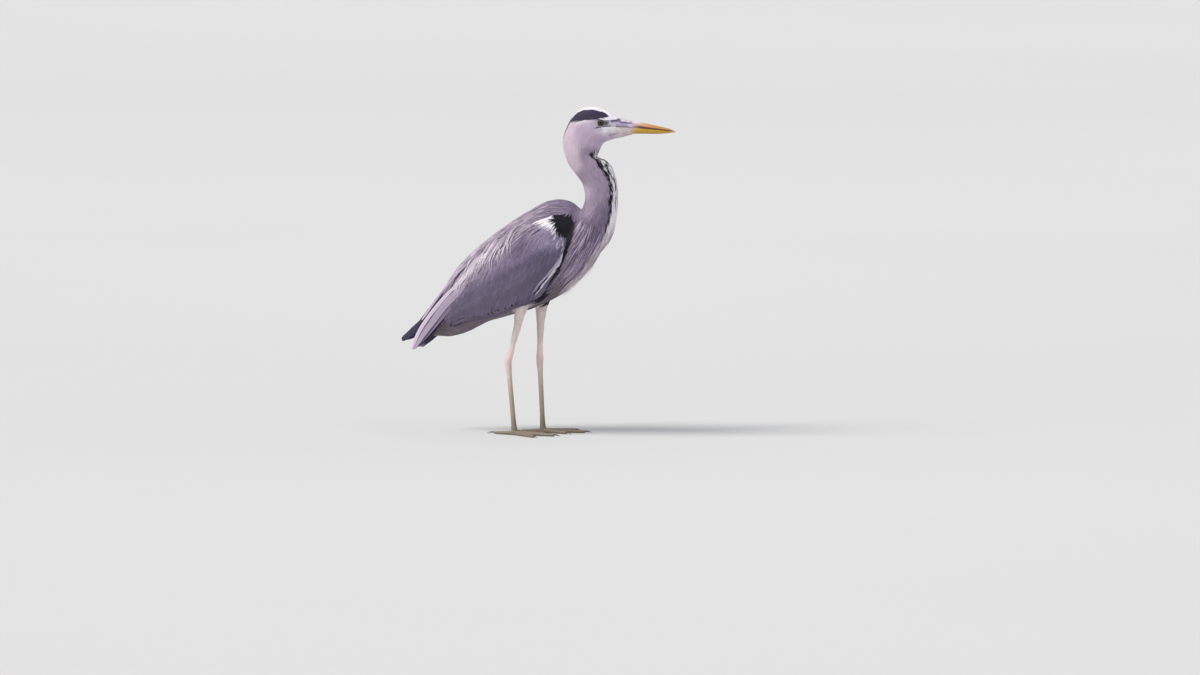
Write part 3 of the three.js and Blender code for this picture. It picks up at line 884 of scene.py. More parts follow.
def stand(n, steps, low, high):
    """Heights over the skin that rise from low at the roots to high at the tips, in mm."""
    t = np.linspace(0, 1, steps)
    return np.broadcast_to(low + (high - low) * t, (n, steps)).copy()


def plain(colour, count):
    """One screen colour for each of several feathers."""
    return np.repeat(linear(colour)[None], count, 0)


# ---------------------------------------------------------------- the skin
# The eyeball's radius and centres, and the line where the bill's halves and the mouth meet.
EYE_BALL = 6.8
EYES = {side: cad_centre("eye_" + side) for side, _ in SIDES}
GAPE = ((126, 661.5), (132, 663.2), (146, 665.7), (168, 666.9), (178, 667.2))


def eye_axis(sign):
    return unit(np.array([0.2, sign, 0.06]))


def inset(ob):
    """Sinks the skin below the solids by the coat's depth, but never through a thin part."""
    mesh = ob.data
    points = relaxed(positions(mesh), edges_of(mesh), 3)
    set_positions(mesh, points)
    normal = normals_of(mesh)
    tree = tree_of(mesh)[0]
    depth = near(DEPTH, points[:, 0], points[:, 2])[:, 0]
    thick = np.full(len(points), 99.0)
    for i, (p, n) in enumerate(zip(points - normal * 0.05, normal)):
        hit = tree.ray_cast(p.tolist(), (-n).tolist(), 30.0)
        if hit[0] is not None:
            thick[i] = hit[3]
    depth = np.minimum(depth, 0.3 * thick)
    edges = edges_of(mesh)
    flat = relaxed(np.repeat(depth[:, None], 3, 1), edges, 4, 0.5, 0.0)
    set_positions(mesh, relaxed(points - normal * flat, edges, 2))


def refine_face(ob):
    """Cuts the skin finely round the eyes, the lores and the bill's root."""
    bm = bmesh.new()
    bm.from_mesh(ob.data)
    for low_x, low_z in ((120, 646), (124, 657)):
        chosen = set()
        for f in bm.faces:
            c = f.calc_center_median() / MM
            if c.x > low_x and c.z > low_z:
                chosen.update(f.edges)
        bmesh.ops.subdivide_edges(bm, edges=list(chosen), cuts=1, use_grid_fill=True)
    bmesh.ops.triangulate(bm, faces=[f for f in bm.faces if len(f.verts) > 4])
    bm.to_mesh(ob.data)
    bm.free()
    ob.data.shade_smooth()
    points = positions(ob.data)
    soft = relaxed(points, edges_of(ob.data), 4)
    face = smooth(120, 128, points[:, 0]) * smooth(646, 654, points[:, 2])
    set_positions(ob.data, points + (soft - points) * face[:, None])


def shape_lids(points, sign, centre):
    """Opens the skin over the eyeball and lays a lid's rim round it."""
    axis = eye_axis(sign)
    away = points - centre
    far = np.linalg.norm(away, axis=1)
    angle = np.degrees(np.arccos(np.clip(away @ axis / far, -1, 1)))
    forward = unit(tangent(np.array([1.0, 0, -0.12]), axis))
    above = np.cross(axis, forward)
    round_eye = np.arctan2(away @ above, away @ forward)
    opening = 47 + 7 * np.cos(round_eye) ** 8
    rim = EYE_BALL + 0.75 - 0.25 * np.cos(3 * round_eye)
    past = (angle - opening) / 26
    share = smooth(0, 1, past)
    lid = rim * (1 - share) + far * share
    groove = 0.35 * hump(angle - opening, 17, 5)
    target = np.where(past > 0, np.maximum(lid, np.minimum(far, EYE_BALL + 0.7)) - groove, rim)
    target = np.where(past < -0.10, EYE_BALL - 1.6, target)
    blend = (far < 13) & (away @ axis > 0) & (past < 1)
    points[blend] = centre + (away / far[:, None] * target[:, None])[blend]
    return points


def shape_face(ob):
    """Adds the gape's groove, the hollow lores, the brow and the lids."""
    points = positions(ob.data)
    normal = normals_of(ob.data)
    x, y, z = points.T
    groove = hump(z, looked_up(GAPE, x), 0.7) * smooth(124, 132, x)
    hollow = np.exp(-(((x - 160) / 11) ** 2 + ((z - 674.5) / 4.0) ** 2))
    brow = np.exp(-(((x - 143) / 9) ** 2 + ((z - 685.5) / 2.4) ** 2))
    pouch = np.exp(-(((x - 150) / 14) ** 2 + ((z - 662.0) / 2.2) ** 2))
    wide = smooth(5, 9, np.abs(y))
    move = (-0.9 * groove - 0.8 * hollow + 0.7 * brow + 0.35 * pouch) * wide
    points = points + normal * move[:, None]
    for side, sign in SIDES:
        points = shape_lids(points, sign, EYES[side])
    set_positions(ob.data, points)


def eye_gap(points):
    """The distance from each point to the nearer eye's axis, in mm."""
    out = np.full(len(points), 99.0)
    for side, sign in SIDES:
        away = points - EYES[side]
        axis = eye_axis(sign)
        off = np.linalg.norm(away - (away @ axis)[:, None] * axis, axis=1)
        out = np.where((away @ axis > 0) & (off < out), off, out)
    return out


# Marks on the bare face and the bill's root, seen from the side in mm: a line of places, the
# mark's half width, its colour and its strength.
FACE = (
    (((166, 671), (182, 671), (206, 670)), 3.4, (200, 190, 214), 0.7),
    (((182, 679.8), (190, 679.3), (200, 677.8)), 2.2, (226, 216, 236), 0.85),
    (((144, 673.6), (153, 673.8)), 5.2, (66, 61, 72), 0.97),
    (((161.0, 672.5), (161.8, 678.5)), 2.0, (206, 198, 190), 0.8),
    (((165.5, 678.6), (172, 679.9), (180, 679.6)), 3.0, (78, 64, 102), 0.97),
    (((176, 682.6), (181, 680)), 1.4, (84, 70, 106), 0.9),
    (((191.5, 679.3), (196, 679.1)), 0.8, (118, 102, 140), 0.7),
    (((183, 674.8), (190, 674.4), (198, 674), (207, 674.3)), 1.5, (86, 70, 114), 0.95),
    (((136, 664.6), (146, 666.4), (157, 667.2)), 1.1, (176, 166, 178), 0.6),
)


def paint_face(x, z, colour):
    """Lavender horn with dark purple streaks, a dark patch before the eye and a pale spot."""
    wander = 0.35 * np.sin(x * 1.7 + 2 * np.sin(z * 0.9))
    for line, width, shade, strength in FACE:
        colour = mixed(colour, linear(shade), strength * stroke(x, z + wander, line, width))
    return colour


def face_ground(points):
    """The bare face's mottled lavender, paler towards the bill."""
    fleck = 0.5 + 0.5 * ripple(points, 4.0)
    ground = mixed(linear((150, 141, 160)), linear((130, 121, 142)), fleck)
    return layered(ground, ((172, 158, 180), smooth(160, 170, points[:, 0])))


def skin_colour(points):
    """The coat's markings, with bare lores, lids and gape."""
    colour = coat_colour(points)
    x, y, z = points.T
    under = inside(wing_outline(), x, z) & (np.abs(y) > WING_SIDE) & (z < 330)
    colour[under] = linear(WING_GREY)
    gap = eye_gap(points)
    bare_face = inside(LORES, x, z) & (np.abs(y) > 4)
    colour[bare_face] = paint_face(x, z, face_ground(points))[bare_face]
    wide = np.interp(x, (128, 136, 150, 160), (0.7, 1.2, 1.1, 0.6))
    gape = hump(z, looked_up(GAPE, x), wide) * smooth(127, 131, x)
    gape = gape * (1 - 0.4 * smooth(158, 172, x))
    ring = hump(gap, 5.9, 1.25)
    around = smooth(9.0, 7.6, gap) * (1 - ring)
    return layered(
        colour, ((36, 31, 40), 0.92 * gape), ((34, 30, 34), 0.95 * ring),
        ((128, 120, 118), 0.5 * around),
    )


def unwrap(ob):
    """Unwraps the skin by its own shape into a map named OFBake."""
    bpy.context.view_layer.objects.active = ob
    for other in bpy.context.selected_objects:
        other.select_set(False)
    ob.select_set(True)
    ob.data.uv_layers.new(name="OFBake")
    bpy.ops.object.mode_set(mode="EDIT")
    bpy.ops.mesh.select_all(action="SELECT")
    bpy.ops.uv.smart_project(angle_limit=math.radians(60), island_margin=0.004)
    bpy.ops.object.mode_set(mode="OBJECT")
    ob.select_set(False)


def make_skin():
    ob = fused("skin", FLESH, 0.45, 2.9)
    inset(ob)
    refine_face(ob)
    shape_face(ob)
    unwrap(ob)
    add_colour(ob.data, skin_colour(positions(ob.data)))
    sockets = {"Roughness": 0.55, "Specular IOR Level": 0.35}
    material = grained_material("bare_skin", sockets, 900.0, 0.16, 0.4, 0.0004)
    material_slot(ob, material)
    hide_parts(*FLESH)
    return ob


# ---------------------------------------------------------------- the short coat
def bare(points):
    """Places with no feathers: round the eyes, the lores, and along the gape."""
    x, y, z = points.T
    out = inside(LORES, x, z) & (np.abs(y) > 4)
    out |= (np.abs(z - looked_up(GAPE, x)) < 0.9) & (x > 128)
    return out | (eye_gap(points) < 7.0) | (x > 173.2 + 1.8 * ripple(points, 5.0))


def spacing(points):
    return near(COAT, points[:, 0], points[:, 2])[:, 2]


# x, z and how much the feathers' tones differ there.
SPREAD = np.array([
    (120, 690, 0.05), (120, 640, 0.06), (70, 620, 0.09), (120, 550, 0.12), (160, 520, 0.10),
    (110, 460, 0.14), (100, 380, 0.18), (60, 320, 0.22), (40, 495, 0.14), (-60, 450, 0.22),
    (-160, 370, 0.26), (0, 420, 0.10), (-60, 340, 0.12), (-120, 240, 0.14), (-20, 250, 0.06),
], float)


def region(points):
    """The coat piece that each root belongs to, as a number."""
    x, y, z = points.T
    out = np.full(len(points), 3)
    out[z > 470 + 0.4 * (x - 60)] = 1
    out[(z > 600) & (z > 664 - 0.66 * (x - 60))] = 0
    out[(x < 78) & (z > 430 + 0.72 * np.minimum(x, 0)) & (z < 515)] = 4
    wing_edge = np.interp(z, (284, 338, 384, 414, 440, 470), (-20, 35, 66, 76, 80, 70))
    flank = (np.abs(y) > 46) & (x < wing_edge + 6)
    out[flank & (out == 3)] = 5
    out[(out == 5) & (y > 0)] = 6
    out[(out == 3) & (x > wing_edge - 4) & (z > 300)] = 2
    return out


# Each coat piece, its slot, and whether its feathers are fine strands.
NAMES = (
    ("feathers_head", "plumage_white", True), ("feathers_neck", "plumage_neck", True),
    ("feathers_breast", "plumage_plumes", True), ("feathers_belly", "plumage_grey", True),
    ("feathers_mantle", "plumage_grey", True), ("feathers_wing_right", "plumage_grey", False),
    ("feathers_wing_left", "plumage_grey", False),
)


# Places along each short feather, and the height above which the head's and the upper neck's
# feathers stay even where they stand off the skin.
SHORT_STEPS = 5
HEAD_FOOT = 600


def short_coat(skin, materials):
    """The feathers over the whole skin but the bare face and the wing rows' place."""
    rows = wing_outline()

    def keep(points):
        x, y, z = points.T
        return (~bare(points) & ~(inside(rows, x, z) & (np.abs(y) > WING_SIDE))).astype(float)

    roots = skin.scatter(spacing, keep)
    size = near(COAT, roots[:, 0], roots[:, 2])
    n = len(roots)
    turn = 0.10 * ripple(roots, 34.0, 0.7) + 0.07 * random.normal(size=n)
    length = size[:, 0] * (1 + 0.12 * random.normal(size=n)).clip(0.7, 1.4)
    path, normal, uv = walk(skin, roots, length, SHORT_STEPS, turn)
    good = near_skin(skin, path, 5.0) | (roots[:, 2] > HEAD_FOOT)
    path, normal, uv, roots, size = (v[good] for v in (path, normal, uv, roots, size))
    n = len(roots)
    where = path[:, 3] + random.normal(size=(n, 3)) * (size[:, 1:2] * 0.35)
    colour = coat_colour(where, random.random(n))
    kind = region(roots)
    lift = rising(size[:, 3] * random.uniform(0.8, 1.15, n), SHORT_STEPS)
    spread = near(SPREAD, roots[:, 0], roots[:, 2])[:, 0]
    for number, (name, slot, fine) in enumerate(NAMES):
        pick = kind == number
        coat = Coat(name)
        coat.add(
            path[pick], normal[pick], size[pick, 1] / 2, lift[pick],
            shades(colour[pick], spread[pick], 1.05, 0.08, 0.9), uv[pick],
            lance if fine else leaf, arch=0.16 if number < 2 else 0.28,
        )
        coat.build(materials["fine" if fine else "broad"])


# ---------------------------------------------------------------- plain shapes
def loft(name, rings, colour):
    """A closed body through rings of points, with flat ends."""
    rows, count = rings.shape[:2]
    base = np.arange(rows - 1)[:, None] * count
    here = np.arange(count)[None, :]
    after = (here + 1) % count
    quads = np.stack([base + here, base + after, base + after + count, base + here + count], 2)
    quads = quads.reshape(-1)
    first = np.arange(count)[::-1]
    last = np.arange(count) + (rows - 1) * count
    loops = np.concatenate([quads, first, last])
    sizes = np.concatenate([np.full(len(quads) // 4, 4), [count, count]])
    return new_mesh(name, rings.reshape(-1, 3), loops, sizes, colour.reshape(-1, 3))


def curve(points, count):
    """A smooth path of evenly spaced places through a few points."""
    p = np.array(points, float)
    ends = np.concatenate([[2 * p[0] - p[1]], p, [2 * p[-1] - p[-2]]])
    fine = []
    t = np.linspace(0, 1, 12, endpoint=False)[:, None]
    for a, b, c, d in zip(ends, ends[1:], ends[2:], ends[3:]):
        fine.append(0.5 * (
            2 * b + (c - a) * t + (2 * a - 5 * b + 4 * c - d) * t ** 2
            + (3 * b - a - 3 * c + d) * t ** 3
        ))
    fine = np.concatenate(fine + [p[-1:]])
    run = np.concatenate([[0], np.cumsum(np.linalg.norm(np.diff(fine, axis=0), axis=1))])
    want = np.linspace(0, run[-1], count)
    return np.stack([np.interp(want, run, fine[:, k]) for k in range(fine.shape[1])], 1)


# ---------------------------------------------------------------- bill
def bill_profile(node, xs):
    """The top, bottom and half width of one half of the bill at each x, from its solid."""
    tree = tree_of(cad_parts[node].data)[0]
    solid = cad_points(node)
    rows = []
    for x in xs:
        at = float(np.clip(x, solid[:, 0].min() + 0.3, solid[:, 0].max() - 1.2))
        top = tree.ray_cast((at, 0.02, 800), (0, 0, -1))[0].z
        bottom = tree.ray_cast((at, 0.02, 500), (0, 0, 1))[0].z
        wide = 0.0
        for z in np.linspace(bottom, top, 13)[1:-1]:
            hit = tree.ray_cast((at, 60, float(z)), (0, -1, 0))[0]
            if hit is not None:
                wide = max(wide, hit.y)
        rows.append((top, bottom, wide))
    return eased(np.array(rows)[None], 6)[0].T


# Where the bill's own sections start, in mm, and how many points cross its flat mouth side.
BILL_ROOT = 175
FLAT_PLACES = 9


def bill_half(node, rise=0.0):
    """A bill half's stations, top, bottom and half width, closing at its blunt point.

    Behind the bill's root, the top rises by that much for each mm.
    """
    xs = np.concatenate([[166, 170, 173], np.linspace(BILL_ROOT, 303.7, 110)])
    top, bottom, wide = bill_profile(node, xs)
    top = top + np.clip(BILL_ROOT - xs, 0, None) * rise
    end = np.sqrt(np.clip((304.0 - xs) / 2.2, 0.02, 1))
    middle = (top + bottom) / 2
    return xs, middle + (top - middle) * end, middle + (bottom - middle) * end, wide * end


def with_mouth(xs, y, z, wide, level, crown):
    """Rings of an open half closed by its flat mouth side, which is crowned a little."""
    places = np.linspace(-1, 1, FLAT_PLACES + 2)[1:-1]
    flat = np.stack([
        np.repeat(xs[:, None], FLAT_PLACES, 1), (wide * 0.94)[:, None] * places * -np.sign(crown),
        level[:, None] + crown * (1 - places ** 2) + 0 * xs[:, None],
    ], 2)
    outside = np.stack([xs[:, None] + 0 * y, y, z], 2)
    return np.concatenate([outside, flat], 1)[:, ::-1]


def over_rings(values):
    """Values on an open half's rings, with zero on its mouth side."""
    return np.pad(values, ((0, 0), (0, FLAT_PLACES)))[:, ::-1]


def upper_bill():
    """The upper half's rings, how high each point stands in them, and how deep in a groove."""
    xs, top, mouth, wide = bill_half("bill_upper", 0.12)
    angle = np.linspace(0, np.pi, 33)
    across, rise = -np.cos(angle), np.sin(angle)
    shape = 0.62 * rise + 0.38 * (1 - np.abs(across)) ** 0.85
    y = wide[:, None] * np.sign(across) * np.abs(across) ** 0.9
    tall = shape[None, :] + 0 * y
    x = xs[:, None] + 0 * y
    groove = 1.15 * (smooth(176, 182, x) * smooth(250, 205, x)) * hump(tall, 0.60, 0.13)
    slit = 1.5 * np.exp(-(((x - 193) / 6.5) ** 4)) * hump(tall, 0.57, 0.06)
    lip = 0.25 * hump(tall, 0, 0.07) * smooth(300, 280, x)
    y = y - np.sign(y) * np.minimum(groove + slit - lip, np.abs(y) * 0.5)
    z = mouth[:, None] + (top - mouth)[:, None] * shape
    rings = with_mouth(xs, y, z, wide, mouth, 0.10)
    return rings, over_rings(tall), over_rings(groove + slit)


def lower_bill():
    """The lower half's rings, and how far down each point stands in them."""
    xs, mouth, bottom, wide = bill_half("bill_lower")
    angle = np.linspace(0, np.pi, 29)
    across, drop = np.cos(angle), np.sin(angle)
    shape = 0.75 * drop + 0.25 * (1 - np.abs(across)) ** 0.9
    y = wide[:, None] * np.sign(across) * np.abs(across) ** 0.85
    x = xs[:, None] + 0 * y
    keel = 0.5 * smooth(190, 214, x) * smooth(268, 230, x)
    z = mouth[:, None] - (mouth - bottom)[:, None] * shape + keel * hump(y, 0, 0.7)
    return with_mouth(xs, y, z, wide, mouth, -0.10), over_rings(shape[None, :] + 0 * y)


def upper_colour(rings, tall, deep):
    """Lavender at the root, then peach to gold, with a dark brown lower edge."""
    x, _, z = (rings[..., k] for k in range(3))
    streak = 0.5 + 0.5 * np.sin(x / 3.1 + 2.2 * np.sin(z * 1.9) + 1.5 * np.sin(x / 9))
    base = mixed(linear((184, 170, 190)), linear((156, 142, 166)), streak)
    base = paint_face(x, z, base)
    peach = mixed(linear((206, 148, 106)), linear((190, 126, 82)), streak)
    gold = mixed(linear((196, 144, 60)), linear((178, 120, 44)), streak)
    horn = mixed(peach, gold, smooth(238, 268, x + 5 * streak))
    colour = mixed(base, horn, smooth(206, 230, x - 7 * tall + 4 * streak))
    culmen = smooth(0.5, 0.85, tall)
    edge = smooth(0.52, 0.28, tall + 0.06 * streak)
    return layered(
        # A pale band along the culmen near x 216: a painted highlight.
        colour, ((226, 210, 206), 0.85 * (hump(x, 216, 13) * culmen)),
        ((150, 104, 58), culmen * smooth(262, 290, x) * 0.4),
        # Darker purple by the depth of the groove and the nostril slit: painted shade.
        ((84, 68, 108), np.clip(deep, 0, 1) * smooth(212, 204, x) * 0.6),
        ((74, 42, 22), edge * smooth(206, 230, x) * 0.95),
        ((96, 84, 104), edge * smooth(206, 196, x) * 0.6),
        ((150, 116, 84), smooth(292, 303, x) * 0.7),
    )


def lower_colour(rings, tall):
    """Pinkish cream at the root, then yellow with a pale point."""
    x, _, z = (rings[..., k] for k in range(3))
    streak = 0.5 + 0.5 * np.sin(x / 3.7 + 2.0 * np.sin(z * 1.7) + 1.2 * np.sin(x / 8))
    base = mixed(linear((214, 200, 200)), linear((186, 170, 172)), streak)
    base = layered(base, ((234, 226, 232), smooth(186, 172, x) * 0.8))
    gold = mixed(linear((206, 164, 30)), linear((188, 142, 18)), streak)
    return layered(
        mixed(base, gold, smooth(206, 228, x + 3 * streak + 7 * tall)),
        ((214, 176, 112), smooth(0.4, 0.1, tall) * hump(x, 218, 12)),
        ((128, 92, 22), smooth(0.72, 0.98, tall) * smooth(212, 232, x) * 0.8),
        ((90, 66, 50), smooth(0.12, 0.0, tall) * 0.7),
        ((236, 226, 200), smooth(288, 302, x) * 0.8),
    )


def make_bill():
    sockets = {"Roughness": 0.36, "Coat Weight": 0.25, "Coat Roughness": 0.2}
    grain = (90.0, 900.0, 900.0)
    material = grained_material("bill_horn", sockets, 1.0, 0.12, 0.35, 0.0003, grain)
    rings, tall, deep = upper_bill()
    upper = loft("bill_upper_horn", rings, upper_colour(rings, tall, deep))
    material_slot(upper, material)
    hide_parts("bill_upper")
    rings, tall = lower_bill()
    lower = loft("bill_lower_horn", rings, lower_colour(rings, tall))
    material_slot(lower, material)
    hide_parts("bill_lower")
    return lower


# ---------------------------------------------------------------- eyes
def eye_rings(side, sign):
    """Rings round the eye's axis, from the cornea's top to the back, and their two angles."""
    angle = np.radians(np.concatenate([
        [0.4], np.linspace(2, 54, 44), np.linspace(58, 176, 20), [179.6],
    ]))
    turn = np.linspace(0, 2 * np.pi, 72, endpoint=False)
    axis = eye_axis(sign)
    first = unit(np.cross(axis, [0, 0, 1.0]))
    second = np.cross(axis, first)
    radius = EYE_BALL + 0.5 * np.clip(1 - (angle / math.radians(44)) ** 2, 0, 1)
    ring = np.cos(turn)[:, None] * first + np.sin(turn)[:, None] * second
    rings = EYES[side] + radius[:, None, None] * (
        np.cos(angle)[:, None, None] * axis + np.sin(angle)[:, None, None] * ring
    )
    return rings, angle, turn


def eye_colour(angle, turn):
    """A black pupil, a streaked dull gold iris with darker rims, and a dark ball behind."""
    degrees = np.degrees(angle)[:, None] + 0 * turn
    streak = 0.5 + 0.5 * np.sin(turn * 23 + 2 * np.sin(turn * 7 + 1))
    streak = streak[None, :] * (0.6 + 0.4 * np.sin(np.degrees(angle) * 0.7))[:, None]
    # The iris is dimmer and duller than the bird's own bright yellow: partly painted shade.
    iris = mixed(linear((124, 102, 36)), linear((150, 128, 60)), streak)
    return layered(
        iris, ((70, 56, 28), smooth(34, 41, degrees) * 0.9),
        ((84, 70, 38), smooth(34, 31, degrees) * 0.6),
        ((3, 3, 4), smooth(31.5, 29.5, degrees)), ((20, 17, 18), smooth(39, 43, degrees)),
    )


def make_eye(side, sign):
    """An eyeball with a domed cornea, a streaked iris and a black pupil."""
    rings, angle, turn = eye_rings(side, sign)
    colour = eye_colour(angle, turn)
    if sign > 0:
        rings, colour = rings[:, ::-1], colour[:, ::-1]
    eye = loft("eyeball_" + side, rings, colour)
    sockets = {
        "Roughness": 0.2, "Specular IOR Level": 0.1, "Coat Weight": 0.4, "Coat Roughness": 0.02,
    }
    material = grained_material("eye_" + side, sockets, 2600.0, 0.10, 0.02, 0.0001)
    material_slot(eye, material)
    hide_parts("eye_" + side)


# ---------------------------------------------------------------- legs
TOES = ("middle", "inner", "outer", "hind")


def slice_centre(points, low, high):
    """The middle of the points whose height lies between low and high."""
    part = points[(points[:, 2] >= low) & (points[:, 2] <= high)]
    return (part.min(0) + part.max(0)) / 2


def toe_lines(side):
    """Each toe's root and end, found from the foot's and the claws' solids."""
    tarsus = cad_points("tarsus_" + side)
    hub = slice_centre(tarsus, tarsus[:, 2].min() - 1, tarsus[:, 2].min() + 4)
    lines = {}
    for toe in TOES:
        claw = cad_points(f"claw_{toe}_{side}")
        far = np.linalg.norm((claw - hub)[:, :2], axis=1)
        root = claw[far < far.min() + 0.25 * (far.max() - far.min())]
        lines[toe] = (hub, (root.min(0) + root.max(0)) / 2, claw[far.argmax()])
    return lines


def plates(run, period, height):
    """Overlapping plates along a limb: each rises slowly and drops at its end."""
    share = (run / period) % 1
    drop = hump(np.minimum(share, 1 - share), 0, 0.07)
    return height * (share ** 0.7 - 0.6) - height * 0.9 * drop


def leg_relief(points, normal, side):
    """Plates down the front of the shank and over the toes, and pads below them."""
    tarsus = cad_points("tarsus_" + side)[:, 2]
    knee = cad_points("shank_" + side)[:, 2].max()
    ankle = tarsus.max()
    z = points[:, 2]
    front = smooth(0.25, 0.6, normal[:, 0])
    back = smooth(0.25, 0.6, -normal[:, 0])
    above_foot = smooth(20, 30, z)
    move = front * plates(z, 5.4, 0.34) * above_foot * smooth(ankle - 4, ankle - 10, z)
    move += front * plates(z, 4.6, 0.26) * smooth(ankle + 8, ankle + 14, z) * smooth(226, 214, z)
    move += back * plates(z, 3.2, 0.14) * above_foot * smooth(knee, ankle, z)
    top = smooth(0.3, 0.75, normal[:, 2])
    under = smooth(0.2, 0.7, -normal[:, 2])
    for hub, root, _ in toe_lines(side).values():
        way = unit((root - hub) * [1, 1, 0])
        run = (points - hub) @ way
        off = np.linalg.norm((points - hub - run[:, None] * way)[:, :2], axis=1)
        here = (off < 7) & (run > 5) & (z < 17)
        fold = plates(run, 3.3, 0.30) * top + 0.25 * np.sin(run / 6.5 * 2 * np.pi) * under
        move = np.where(here, fold * smooth(5, 9, run), move)
    return move


def leg_colour(points, normal):
    """Cream above, greyer down the shank and olive brown on the toes."""
    z = points[:, 2]
    colour = mixed(linear((234, 209, 202)), linear(CREAM), smooth(176, 216, z))
    colour = mixed(linear((166, 152, 134)), colour, smooth(60, 170, z))
    colour = mixed(linear((128, 116, 100)), colour, smooth(8, 60, z))
    colour = mixed(colour, colour * 0.78, smooth(0.2, 0.8, normal[:, 0]) * smooth(180, 130, z))
    colour = mixed(colour, colour * 0.84, hump(z, 155, 11) * 0.7)
    blotch = 0.5 + 0.5 * ripple(points, 13.0)
    return colour * (0.96 + 0.08 * blotch)[:, None]


def shin_paths(skin, leg):
    """Paths and normals of the short feathers round the shank, denser towards its top."""
    trees = (skin.tree, tree_of(leg.data)[0])
    points = positions(leg.data)
    middle = np.array([slice_centre(points, z - 2, z + 2) for z in np.arange(188, 226, 4.0)])
    drift = (middle[-1] - middle[0]) / (middle[-1, 2] - middle[0, 2])
    z = 268 - np.abs(60 * random.random(2600) + 7 * random.normal(size=2600))
    turn = random.uniform(0, 2 * np.pi, len(z))
    flat = np.column_stack([turn * 8, z, 0 * z])
    kept = spaced(flat, np.full(len(z), 1.1))
    path, normal = [], []
    for high, angle in zip(z[kept].tolist(), turn[kept].tolist()):
        way = np.array([math.cos(angle), math.sin(angle), 0.0])
        length = np.interp(high, (190, 206, 225, 250, 268), (2.5, 5, 11, 17, 17))
        down = high - np.linspace(0, length, SHORT_STEPS)[:, None] - middle[0][2]
        found = first_hits(trees, middle[0] + drift * down + way * 26, -way, 26.0)
        if found:
            path.append(found[0])
            normal.append(unit(np.array(found[1]) * [1, 1, 0.3] + way * 0.5))
    return eased(np.array(path)), np.array(normal)


def shin_feathers(skin, leg, side, material):
    """Short cream feathers from the thigh's end down the shank, where they thin out."""
    coat = Coat("feathers_shank_" + side)
    path, normal = shin_paths(skin, leg)
    _, _, uv = skin.snap(path[:, 0])
    high = path[:, 0, 2]
    fade = np.interp(high, (192, 240), (0.25, 1.5))[:, None]
    lift = stand(len(path), SHORT_STEPS, 0.05, 0.6) * fade
    tones = shades(plain(CREAM, len(path)), 0.04, 1.0, 0.05, 0.94)
    half = np.interp(high, (195, 225), (0.4, 0.85))
    coat.add(path, normal, half, lift, tones, uv, lance)
    coat.build(material)


def make_leg(side, material):
    ob = fused("leg_" + side, ["shank_" + side, "tarsus_" + side, "foot_" + side], 0.2, 0.8)
    mesh = ob.data
    edges = edges_of(mesh)
    points = relaxed(positions(mesh), edges, 6)
    ankle = cad_points("tarsus_" + side)[:, 2].max()
    soft = relaxed(points, edges, 45, 0.5, -0.05)
    points = points + (soft - points) * hump(points[:, 2], ankle - 2, 9)[:, None]
    set_positions(mesh, points)
    normal = normals_of(mesh)
    swell = 1.6 * smooth(204, 238, points[:, 2])
    points = points + normal * (leg_relief(points, normal, side) + swell)[:, None]
    points[:, 2] += 5 * smooth(232, 240, points[:, 2])
    points[:, 2] = np.maximum(points[:, 2], 0)
    set_positions(mesh, points)
    add_colour(mesh, leg_colour(points, normal))
    material_slot(ob, material)
    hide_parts("shank_" + side, "tarsus_" + side, "foot_" + side)
    return ob


def make_claw(side, toe, line, material):
    """A curved claw from the toe's end to the solid's tip, flatter below."""
    node = f"claw_{toe}_{side}"
    low, high = (np.array(corner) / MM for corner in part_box(node))
    _, root, tip = line
    way = unit((tip - root) * [1, 1, 0])
    length = np.linalg.norm((tip - root)[:2])
    t = np.linspace(0, 1, 22)
    path = root + way * (t * (length + 2.5) - 2.5)[:, None]
    tall = high[2] - low[2]
    arc = root[2] + 0.16 * tall * np.sin(np.pi * t ** 0.8)
    path[:, 2] = arc * (1 - t ** 3) + (low[2] + 0.35) * t ** 3
    radius = np.maximum(0.46 * tall * (1 - t) ** 0.62, 0.22)
    around = np.linspace(0, 2 * np.pi, 18, endpoint=False)
    section = np.stack([np.cos(around) * 0.72, np.sin(around)], 1)
    section[:, 1] *= np.where(section[:, 1] < 0, 0.8, 1.0)
    rings = path[:, None, :] + radius[:, None, None] * (
        section[None, :, :1] * np.cross([0, 0, 1.0], way)
        + section[None, :, 1:] * np.array([0, 0, 1.0])
    )
    rings[:, :, 2] = np.maximum(rings[:, :, 2], 0.02)
    shade = mixed(linear((86, 74, 66)), linear((38, 32, 32)), smooth(0, 0.7, t))
    claw = loft(f"claw_horn_{toe}_{side}", rings, np.repeat(shade[:, None, :], 18, 1))
    material_slot(claw, material)
    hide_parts(node)


def make_legs(feather, surface):
    skin = scaly_material("leg_scales")
    sockets = {"Roughness": 0.34, "Coat Weight": 0.2, "Coat Roughness": 0.25}
    horn = grained_material("claw_keratin", sockets, 700.0, 0.2, 0.3, 0.0002)
    for side, _ in SIDES:
        leg = make_leg(side, skin)
        shin_feathers(surface, leg, side, feather)
        for toe, line in toe_lines(side).items():
            make_claw(side, toe, line, horn)


# ---------------------------------------------------------------- long feathers
# The wing's lower edge from front to back, seen from the side in mm.
WING_EDGE = (
    (16, 306), (0, 292), (-28, 281), (-58, 271), (-97, 256), (-128, 250), (-152, 245),
    (-170, 235), (-184, 230), (-198, 228), (-208, 238), (-212, 258),
)
# How far up from that edge the rows of feathers hide the skin, in mm.
ROWS_HEIGHT = 88.0

# How many feathers each wing row has from the bottom up, its tips' height over the wing's
# edge, its feathers' length and width, and how high they stand at root and tip, in mm.
WING_ROWS = (
    (42, 4, 104, 14, 0.9, 1.9), (36, 22, 72, 12, 0.9, 2.3), (44, 40, 60, 10.5, 0.6, 2.2),
    (50, 56, 52, 9.5, 0.45, 2.1), (56, 72, 46, 8.5, 0.4, 2.1), (60, 84, 40, 7.5, 0.4, 1.9),
)
